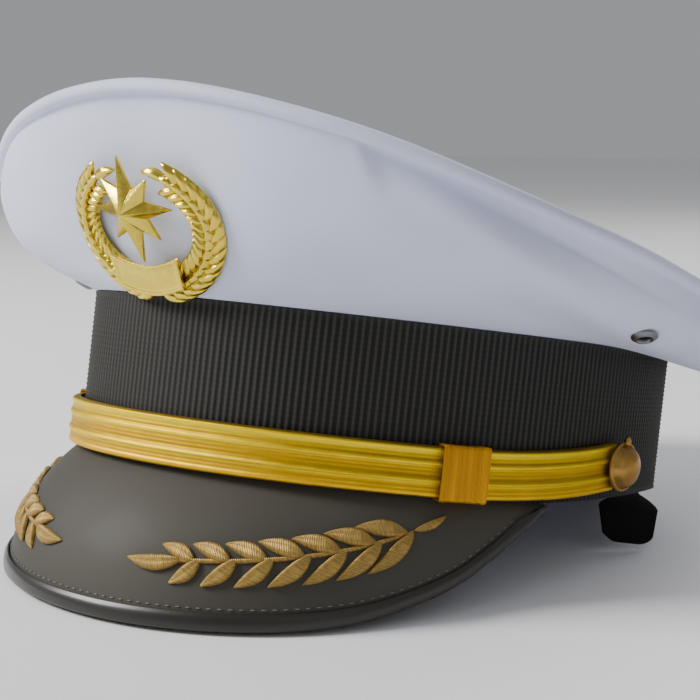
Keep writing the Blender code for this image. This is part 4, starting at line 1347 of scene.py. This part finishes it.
def build_lights():
    world = bpy.data.worlds.new("soft_studio")
    world.use_nodes = True
    background = world.node_tree.nodes["Background"]
    background.inputs["Color"].default_value = (*WORLD_COLOUR, 1)
    background.inputs["Strength"].default_value = WORLD_STRENGTH
    bpy.context.scene.world = world
    for lamp in LAMPS:
        light = bpy.data.lights.new(lamp.name, "AREA")
        light.size = lamp.width
        light.energy = lamp.power
        made = bpy.data.objects.new(lamp.name, light)
        made.location = lamp.place
        made.rotation_euler = (LAMP_TARGET - made.location).to_track_quat("-Z", "Y").to_euler()
        bpy.context.scene.collection.objects.link(made)


def build_camera():
    """Looks at the cap from where the photo was taken."""
    turned, above, roll = (math.radians(a) for a in (CAMERA_ROUND, CAMERA_ABOVE, CAMERA_ROLL))
    flat = Vector((math.sin(turned), -math.cos(turned), 0))
    back = flat * math.cos(above) + Vector((0, 0, math.sin(above)))
    level = Vector((math.cos(turned), math.sin(turned), 0))
    upright = back.cross(level)
    right = math.cos(roll) * level - math.sin(roll) * upright
    up = math.sin(roll) * level + math.cos(roll) * upright
    eye = Matrix.Translation(CAMERA_TARGET + back * CAMERA_DISTANCE)
    lens = bpy.data.cameras.new("camera")
    lens.sensor_width = 36
    lens.lens = CAMERA_LENS
    lens.shift_x, lens.shift_y = CAMERA_SHIFT
    lens.clip_start = 0.01
    camera = bpy.data.objects.new("camera", lens)
    camera.matrix_world = REST @ eye @ axes_matrix(right, up, back)
    bpy.context.scene.collection.objects.link(camera)
    bpy.context.scene.camera = camera


class CapOperator:
    bl_options = {"REGISTER", "UNDO"}

    @property
    def size(self):
        return bpy.context.scene.cap_sizes

    @property
    def colour(self):
        return bpy.context.scene.cap_colours


class CAP_OT_crown(CapOperator, bpy.types.Operator):
    """Adds the white crown: its wall, its rolled rim, its top and the vent eyelets"""

    bl_idname = "cap.crown"
    bl_label = "Crown"

    def execute(self, context):
        cloth = cloth_finish(self.colour.cloth)
        build_crown_wall(self.size, cloth)
        build_crown_rim(self.size, cloth)
        build_crown_top(self.size, cloth)
        metal = metal_finish("vent_metal", self.colour.vent, 0.35)
        for side in (1, -1):
            build_eyelet(self.size, side, metal)
        return {"FINISHED"}


class CAP_OT_band(CapOperator, bpy.types.Operator):
    """Adds the ribbed band and the tab that hangs from it"""

    bl_idname = "cap.band"
    bl_label = "Band and tab"

    def execute(self, context):
        webbing = webbing_finish(self.colour.webbing, rib_pitch(self.size), self.size.bead_pitch)
        build_band(self.size, webbing)
        build_tab(self.size, tab_finish(self.colour.tab_cloth))
        return {"FINISHED"}


class CAP_OT_peak(CapOperator, bpy.types.Operator):
    """Adds the leather peak, its binding and its stitches"""

    bl_idname = "cap.peak"
    bl_label = "Peak"

    def execute(self, context):
        matt = leather_finish("peak_leather", self.colour.leather, 0.64, 0.03)
        polished = leather_finish("binding_leather", toned(self.colour.leather, 0.35), 0.36, 0.35)
        build_peak(self.size, matt)
        build_peak_binding(self.size, polished)
        # the grey of the stitch thread is a painted highlight for the glints on the dark thread
        build_stitches(self.size, plain("stitch_thread", self.colour.stitch, 0.6))
        return {"FINISHED"}


class CAP_OT_laurels(CapOperator, bpy.types.Operator):
    """Adds the embroidered branches on the peak"""

    bl_idname = "cap.laurels"
    bl_label = "Laurels"

    def execute(self, context):
        thread = thread_finish(self.colour.thread)
        for side in (1, -1):
            build_laurel(self.size, side, thread)
        return {"FINISHED"}


class CAP_OT_strap(CapOperator, bpy.types.Operator):
    """Adds the gold strap, its keepers and the side buttons"""

    bl_idname = "cap.strap"
    bl_label = "Strap"

    def execute(self, context):
        build_strap(self.size, braid_finish(self.colour.braid, self.size.strap_width))
        braid = keeper_finish(self.colour.keeper_braid)
        metal = metal_finish("button_bronze", self.colour.bronze, 0.32)
        for side in (1, -1):
            build_keeper(self.size, side, braid)
            build_button(self.size, side, metal)
        return {"FINISHED"}


class CAP_OT_badge(CapOperator, bpy.types.Operator):
    """Adds the plain badge: a wreath, a star and a scroll"""

    bl_idname = "cap.badge"
    bl_label = "Badge"

    def execute(self, context):
        metal = metal_finish("badge_gilt", self.colour.gilt, 0.22)
        lie = badge_lie(self.size)
        build_wreath(self.size, lie, metal)
        build_star(self.size, lie, metal)
        build_scroll(self.size, lie, metal)
        return {"FINISHED"}


class CAP_OT_stage(CapOperator, bpy.types.Operator):
    """Adds the floor, the lights and the camera"""

    bl_idname = "cap.stage"
    bl_label = "Stage"

    def execute(self, context):
        build_floor()
        build_lights()
        build_camera()
        return {"FINISHED"}


OPERATORS = (
    CAP_OT_crown,
    CAP_OT_band,
    CAP_OT_peak,
    CAP_OT_laurels,
    CAP_OT_strap,
    CAP_OT_badge,
    CAP_OT_stage,
)


class CAP_PT_panel(bpy.types.Panel):
    """Lists the cap's pieces, sizes and colours"""

    bl_label = "Peaked cap"
    bl_idname = "CAP_PT_panel"
    bl_space_type = "VIEW_3D"
    bl_region_type = "UI"
    bl_category = "Cap"

    def draw(self, context):
        for operator in OPERATORS:
            self.layout.operator(operator.bl_idname)
        for group in (context.scene.cap_sizes, context.scene.cap_colours):
            box = self.layout.box()
            for name in type(group).__annotations__:
                box.prop(group, name)


CLASSES = (CapSizes, CapColours, *OPERATORS, CAP_PT_panel)


def register():
    for cls in CLASSES:
        bpy.utils.register_class(cls)
    bpy.types.Scene.cap_sizes = bpy.props.PointerProperty(type=CapSizes)
    bpy.types.Scene.cap_colours = bpy.props.PointerProperty(type=CapColours)


def unregister():
    del bpy.types.Scene.cap_colours
    del bpy.types.Scene.cap_sizes
    for cls in reversed(CLASSES):
        bpy.utils.unregister_class(cls)


def main():
    register()
    bpy.ops.cap.crown()
    bpy.ops.cap.band()
    bpy.ops.cap.peak()
    bpy.ops.cap.laurels()
    bpy.ops.cap.strap()
    bpy.ops.cap.badge()
    bpy.ops.cap.stage()


if __name__ == "__main__":
    main()
